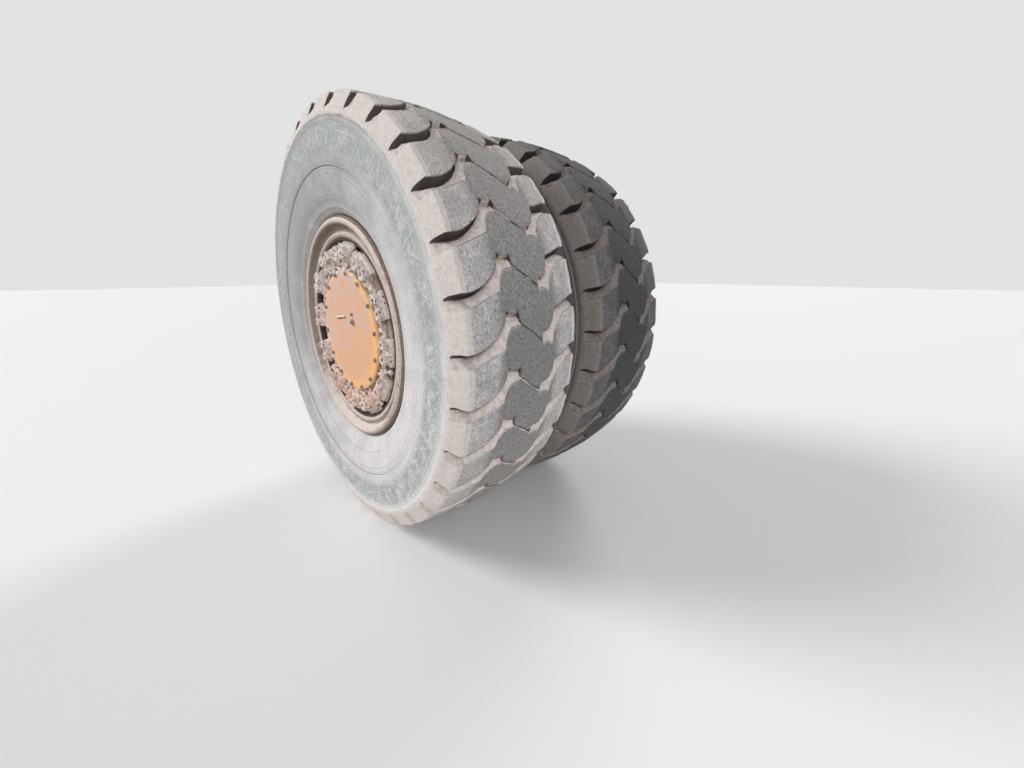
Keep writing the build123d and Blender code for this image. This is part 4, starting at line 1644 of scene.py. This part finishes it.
    def build_studs(self) -> None:
        """Makes the studs' nuts, mud-caked to blocks with a hole at the stud's end that is darkened
        with painted shade.
        """
        sculpt = Sculpt()
        pick = self.random
        holes = []
        for middle in self.angles():
            for side in (-0.5, 0.5):
                angle = middle + side * self.spread
                twist = Matrix.Rotation(pick.uniform(0.0, TURN), 4, "Z")
                tilt = Matrix.Rotation(pick.uniform(-self.nut_tilt, self.nut_tilt), 4, "X")
                place = facing_out(self.stud_circle, self.front + self.nut_foot, angle) @ tilt @ twist
                height = self.nut_height + pick.uniform(0.0, self.nut_extra)
                sides = pick.choice(self.nut_sides)
                sculpt.prism(sides, self.nut_radius * pick.uniform(*self.nut_growth), height, place)
                shift_x = pick.uniform(-self.hole_shift, self.hole_shift)
                shift_y = pick.uniform(-self.hole_shift, self.hole_shift)
                holes.append(place @ Vector((shift_x, shift_y, height)))
                self.nut_crumbs(sculpt, angle)
        sculpt.fuse(self.voxel)
        sculpt.press(holes, self.stud_hole, self.stud_depth)
        for patch, depth, shift in self.nut_crust:
            sculpt.roughen(patch, depth, shift)
        sculpt.pit(self.pits, self.pit_radius, self.nut_pit, pick)
        deep = [hole + AXLE * self.stud_depth * self.hole_dark_from for hole in holes]
        sculpt.shade_hollows(self.hollow_shade_reach, deep, self.stud_hole * self.hole_dark_size)
        sculpt.piece("caked_nuts", Finish.MUD, Slot.MUD, ["clamp_studs"])

    def build(self) -> None:
        """Makes both pieces."""
        self.build_castings()
        self.build_studs()


@dataclass
class DriveCover:
    """The round cover with its bar and the painted shadow under it, its bolts, its oil plug and its
    vent plug.
    """

    # Bolts on their washers
    bolts: int = 14
    first: float = math.radians(4.0)
    bolt_circle: float = 0.402
    bolt_radius: float = 0.0125
    bolt_height: float = 0.0135
    washer_radius: float = 0.0155
    washer_height: float = 0.0035
    washer_sides: int = 20
    bolt_bevel: float = 0.0012
    # Depth to which bolts and plugs are seated in the buckled plate
    foot: float = 0.001
    # The bar, and the dark strip under it that is its painted shadow
    bar_ahead: float = -0.108
    bar_up: float = 0.100
    bar_length: float = 0.140
    bar_height: float = 0.009
    bar_width: float = 0.010
    bar_tilt: float = math.radians(-6.0)
    shadow_strip_height: float = 0.003
    shadow_strip_width: float = 0.013
    # The square oil plug on its round boss, and the vent plug above it
    boss_radius: float = 0.021
    boss_height: float = 0.009
    boss_sides: int = 28
    plug_radius: float = 0.0125
    plug_height: float = 0.021
    plug_turn: float = math.radians(38.0)
    plug_up: float = 0.074
    vent_radius: float = 0.011
    vent_height: float = 0.013
    vent_above: float = 0.052
    plug_bevel: float = 0.0015
    # The plate: its grid, and its slight buckle
    plate_steps: int = 96
    plate_rings: int = 14
    plate_margin: float = 0.01
    buckle: float = 0.0022
    buckle_patch: float = 0.22
    buckle_seed: float = 4.0
    # The plate's rounded edge: distance in from its radius, and back from its face
    plate_edge: Profile = ((0.004, 0.0), (0.001, 0.002), (0.0, 0.005))

    def __post_init__(self) -> None:
        """Reads the cover's size and face from the frame."""
        low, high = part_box("drive_cover")
        self.radius = high.z
        self.face = low.y + self.bar_height
        self.back = high.y
        self.random = random.Random(11)

    def build_plate(self) -> None:
        """Makes the slightly buckled plate with its rounded edge."""
        rings = [self.radius * ring / self.plate_rings for ring in range(self.plate_rings, 0, -1)]
        front = [(ring, self.face) for ring in rings if ring < self.radius - self.plate_margin]
        edge = [(self.radius - inward, self.face + back) for inward, back in self.plate_edge]
        edge.append((self.radius, self.back))
        sculpt = Sculpt()
        sculpt.lathe(list(reversed(edge)) + front, self.plate_steps, closed=False)
        rims = [item for item in sculpt.bm.edges if item.is_boundary]
        bmesh.ops.holes_fill(sculpt.bm, edges=rims, sides=0)
        sculpt.roughen(self.buckle_patch, self.buckle, self.buckle_seed)
        self.strip(sculpt, 0.0, self.bar_height, self.bar_width)
        sculpt.piece("cover_plate", Finish.COVER, Slot.COVER, ["drive_cover"])

    def strip(self, sculpt: Sculpt, below: float, height: float, width: float) -> None:
        """Adds a flat strip on the plate's face.

        Args:
            sculpt: The mesh that takes it.
            below: Distance below the bar's middle.
            height: How far it stands out.
            width: Its width up and down the plate.
        """
        tilt = Matrix.Rotation(self.bar_tilt, 4, AXLE)
        place = Matrix.Translation((self.bar_ahead, self.face, self.bar_up)) @ tilt
        stretch = Matrix.Diagonal((self.bar_length, 2.0 * height, width, 1.0))
        lowered = Matrix.Translation((0.0, 0.0, -below))
        bmesh.ops.create_cube(sculpt.bm, size=1.0, matrix=place @ lowered @ stretch)

    def build_bar_shadow(self) -> None:
        """Makes the dark strip under the bar, a painted shadow."""
        sculpt = Sculpt()
        self.strip(sculpt, (self.bar_width + self.shadow_strip_width) / 2.0, self.shadow_strip_height, self.shadow_strip_width)
        sculpt.piece("cover_bar_painted_shadow", Finish.BOLT, Slot.FASTENER)

    def build_bolts(self) -> None:
        """Makes the bolt heads on their washers."""
        sculpt = Sculpt()
        for i in range(self.bolts):
            angle = self.first + TURN / self.bolts * i
            place = facing_out(self.bolt_circle, self.face + self.foot, angle)
            twist = Matrix.Rotation(self.random.uniform(0.0, 1.0), 4, "Z")
            sculpt.prism(self.washer_sides, self.washer_radius, self.washer_height, place)
            sculpt.prism(HEXAGON, self.bolt_radius, self.bolt_height, place @ twist)
        sculpt.soften(self.bolt_bevel)
        sculpt.piece("cover_bolt_heads", Finish.BOLT, Slot.FASTENER, ["cover_bolts"])

    def build_plug(self) -> None:
        """Makes the oil level plug on its round boss and the small vent plug above it."""
        low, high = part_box("cover_plug")
        turn = Matrix.Rotation(math.radians(90.0), 4, "X")
        place = Matrix.Translation(((low.x + high.x) / 2.0, self.face + self.foot, self.plug_up)) @ turn
        vent = Matrix.Translation((0.0, 0.0, self.vent_above)) @ place
        sculpt = Sculpt()
        twist = Matrix.Rotation(self.plug_turn, 4, "Z")
        sculpt.prism(self.boss_sides, self.boss_radius, self.boss_height, place)
        sculpt.prism(SQUARE, self.plug_radius, self.plug_height, place @ twist)
        sculpt.prism(HEXAGON, self.vent_radius, self.vent_height, vent)
        sculpt.soften(self.plug_bevel)
        sculpt.piece("oil_plug", Finish.BOLT, Slot.FASTENER, ["cover_plug"])

    def build(self) -> None:
        """Makes all pieces of the cover."""
        self.build_plate()
        self.build_bar_shadow()
        self.build_bolts()
        self.build_plug()


class Drift(NamedTuple):
    """A ring or an arc of clods, with the least and largest value of each size."""

    count: int
    radii: Span
    along: Span
    sizes: Span
    on_cover: bool = False
    arc: Span = (0.0, 360.0)


@dataclass
class MudBanks:
    """Dried mud that lies between the cover and the clamps, and over the cover's top.

    Places along the axle are counted inboard from the carrier's step, or from
    the cover's face for what lies on it.  Arcs are in degrees.
    """

    voxel: float = 0.0055
    bed_steps: int = 120
    bed: Profile = ((0.444, 0.004), (0.486, 0.004), (0.486, 0.026), (0.444, 0.026))
    drifts: Sequence[Drift] = (
        Drift(210, radii=(0.456, 0.484), along=(-0.004, 0.014), sizes=(0.008, 0.018)),
        Drift(90, radii=(0.434, 0.452), along=(-0.002, 0.014), sizes=(0.007, 0.013), arc=(0.0, 300.0)),
        Drift(
            46,
            radii=(0.402, 0.446),
            along=(0.001, 0.007),
            sizes=(0.007, 0.013),
            on_cover=True,
            arc=(62.0, 112.0),
        ),
        Drift(
            22,
            radii=(0.378, 0.410),
            along=(0.002, 0.006),
            sizes=(0.005, 0.009),
            on_cover=True,
            arc=(76.0, 104.0),
        ),
    )
    crust_patch: float = 0.030
    crust_depth: float = 0.006
    crust_seed: float = 8.0
    # Depth at which a hollow's painted shade is full
    hollow_shade_reach: float = 0.0020

    def __post_init__(self) -> None:
        """Reads from the frame where the carrier's step and the cover's face lie."""
        self.random = random.Random(23)
        self.step_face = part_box("planet_carrier")[0].y
        self.cover_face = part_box("cover_plug")[1].y

    def scatter(self, sculpt: Sculpt, drift: Drift) -> None:
        """Scatters the clods of one drift."""
        pick = self.random
        level = self.cover_face if drift.on_cover else self.step_face
        low, high = drift.along
        for _ in range(drift.count):
            angle = math.radians(pick.uniform(*drift.arc))
            place = on_wheel(pick.uniform(*drift.radii), pick.uniform(level + low, level + high), angle)
            sculpt.lump(pick.uniform(*drift.sizes), place, pick)

    def build(self) -> None:
        """Makes the mud bank round the cover, and the tongue that hangs over the cover's top."""
        sculpt = Sculpt()
        bed = [(radius, self.step_face + along) for radius, along in self.bed]
        sculpt.lathe(bed, self.bed_steps)
        for drift in self.drifts:
            self.scatter(sculpt, drift)
        sculpt.fuse(self.voxel)
        sculpt.roughen(self.crust_patch, self.crust_depth, self.crust_seed)
        sculpt.shade_hollows(self.hollow_shade_reach)
        sculpt.piece("hub_mud", Finish.MUD, Slot.MUD)


class Carried:
    """The CAD nodes that stay as they are and take a finish."""

    finishes: dict[str, Finish] = {
        "outer_rim_base": Finish.RIM,
        "inner_rim_base": Finish.RIM,
        "rim_spacer": Finish.RIM,
        "wheel_hub": Finish.CAST,
        "planet_carrier": Finish.CAST,
        "carrier_bolts": Finish.BOLT,
        "spindle": Finish.CAST,
        "brake_housing": Finish.BRAKE,
        "brake_bolts": Finish.BOLT,
        "axle_shaft": Finish.SHAFT,
    }

    def dress(self, nodes: dict[str, bpy.types.Object]) -> None:
        """Gives each node its finish.

        Args:
            nodes: The CAD nodes by name.
        """
        for name, finish in self.finishes.items():
            item = nodes[name]
            if not item.material_slots:
                item.data.materials.append(finish.material())
            for slot in item.material_slots:
                slot.material = finish.material()


@dataclass(frozen=True)
class PhotoCamera:
    """The camera where the photograph was taken from."""

    width_px: float = 1024.0
    focal_px: float = 381.0
    sensor_mm: float = 36.0
    ahead: float = 2.731
    outboard: float = 1.076
    above: float = 0.410
    yaw: float = math.radians(44.93)
    pitch: float = math.radians(16.45)
    sees_to: float = 200.0

    def build(self, lip: float) -> None:
        """Sets up the camera.

        Args:
            lip: Place along the axle of the outer rim's lip.
        """
        data = bpy.data.cameras.new("photo_camera")
        data.sensor_width = self.sensor_mm
        data.lens = self.sensor_mm * self.focal_px / self.width_px
        data.clip_end = self.sees_to
        camera = bpy.data.objects.new("photo_camera", data)
        level = math.cos(self.pitch)
        view = Vector((-math.cos(self.yaw) * level, math.sin(self.yaw) * level, -math.sin(self.pitch)))
        camera.location = (self.ahead, lip - self.outboard, self.above)
        camera.rotation_euler = view.to_track_quat("-Z", "Y").to_euler()
        bpy.context.scene.collection.objects.link(camera)
        bpy.context.scene.camera = camera


@dataclass(frozen=True)
class Studio:
    """A pale floor under soft light."""

    floor_colour: Colour = srgb(226, 225, 223)
    backdrop: Colour = srgb(226, 227, 227)
    sky: Colour = srgb(240, 247, 255)
    floor_half: float = 60.0
    sky_strength: float = 0.32
    softness: float = math.radians(24.0)
    lamps: Sequence[tuple[str, tuple[float, float, float], float]] = (
        ("key_lamp", (-0.85, -0.70, 0.66), 0.74),
        ("fill_lamp", (1.0, -0.62, 0.62), 0.47),
        ("back_lamp", (-0.3, 1.0, 0.7), 0.38),
    )

    def floor(self, level: float) -> None:
        """Lays the floor at a height."""
        bm = bmesh.new()
        bmesh.ops.create_grid(bm, x_segments=1, y_segments=1, size=self.floor_half)
        bmesh.ops.translate(bm, verts=bm.verts, vec=(0.0, 0.0, level))
        mesh = bpy.data.meshes.new("studio_floor")
        bm.to_mesh(mesh)
        bm.free()
        shader = Shader("pale_floor")
        shader.colour(self.floor_colour)
        shader.rough(0.9)
        mesh.materials.append(shader.material)
        floor = bpy.data.objects.new("studio_floor", mesh)
        bpy.context.scene.collection.objects.link(floor)

    def lamp(self, name: str, origin: Vector, level: float) -> None:
        """Adds one wide soft lamp that lights everything evenly.

        Args:
            name: Name of the lamp.
            origin: Direction that its light comes from.
            level: Share of a colour that it shows on a surface that faces it.
        """
        data = bpy.data.lights.new(name, "SUN")
        data.angle = self.softness
        data.energy = level * math.pi
        lamp = bpy.data.objects.new(name, data)
        lamp.rotation_euler = (-origin).to_track_quat("-Z", "Y").to_euler()
        bpy.context.scene.collection.objects.link(lamp)

    def world(self) -> None:
        """Sets a soft sky that the camera and all gloss see as a pale backdrop."""
        world = bpy.data.worlds.new("studio_world")
        world.use_nodes = True
        nodes, links = world.node_tree.nodes, world.node_tree.links
        sky = nodes["Background"]
        sky.inputs["Color"].default_value = self.sky
        sky.inputs["Strength"].default_value = self.sky_strength
        seen = nodes.new("ShaderNodeBackground")
        seen.inputs["Color"].default_value = self.backdrop
        rays = nodes.new("ShaderNodeLightPath")
        shown = rays.outputs["Is Camera Ray"]
        for ray in ("Is Glossy Ray", "Is Transmission Ray"):
            either = nodes.new("ShaderNodeMath")
            either.operation = "MAXIMUM"
            links.new(shown, either.inputs[0])
            links.new(rays.outputs[ray], either.inputs[1])
            shown = either.outputs["Value"]
        mix = nodes.new("ShaderNodeMixShader")
        links.new(shown, mix.inputs["Fac"])
        links.new(sky.outputs["Background"], mix.inputs[1])
        links.new(seen.outputs["Background"], mix.inputs[2])
        links.new(mix.outputs["Shader"], nodes["World Output"].inputs["Surface"])
        bpy.context.scene.world = world

    def build(self, level: float) -> None:
        """Sets up floor, lamps and world.

        Args:
            level: Height of the floor.
        """
        self.floor(level)
        for name, origin, strength in self.lamps:
            self.lamp(name, Vector(origin), strength)
        self.world()
        bpy.context.scene.view_settings.view_transform = "Standard"


def main() -> None:
    """Dresses the wheel end around its frame."""
    logging.basicConfig(level=logging.INFO, format="%(message)s")
    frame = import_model()
    Carried().dress(frame["nodes"])
    Tyre("outer_lugged_tyre", "outer_tyre", Finish.OUTER_RUBBER, 0.0).build()
    Tyre("inner_lugged_tyre", "inner_tyre", Finish.INNER_RUBBER, 17.0).build()
    lip = 0.0
    for row in ("outer", "inner"):
        low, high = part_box(f"{row}_tyre")
        plane = (low.y + high.y) / 2.0
        SideFlange(f"{row}_flange_outboard").build(plane - RIM_HALF_WIDTH, -1.0)
        SideFlange(f"{row}_flange_inboard").build(plane + RIM_HALF_WIDTH, 1.0)
        RimRings(row).build(plane)
        lip = min(lip, plane - RIM_HALF_WIDTH - FLANGE_LIP)
    ClampRing().build()
    DriveCover().build()
    MudBanks().build()
    PhotoCamera().build(lip)
    Studio().build(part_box("outer_tyre")[0].z)


if __name__ == "__main__":
    main()
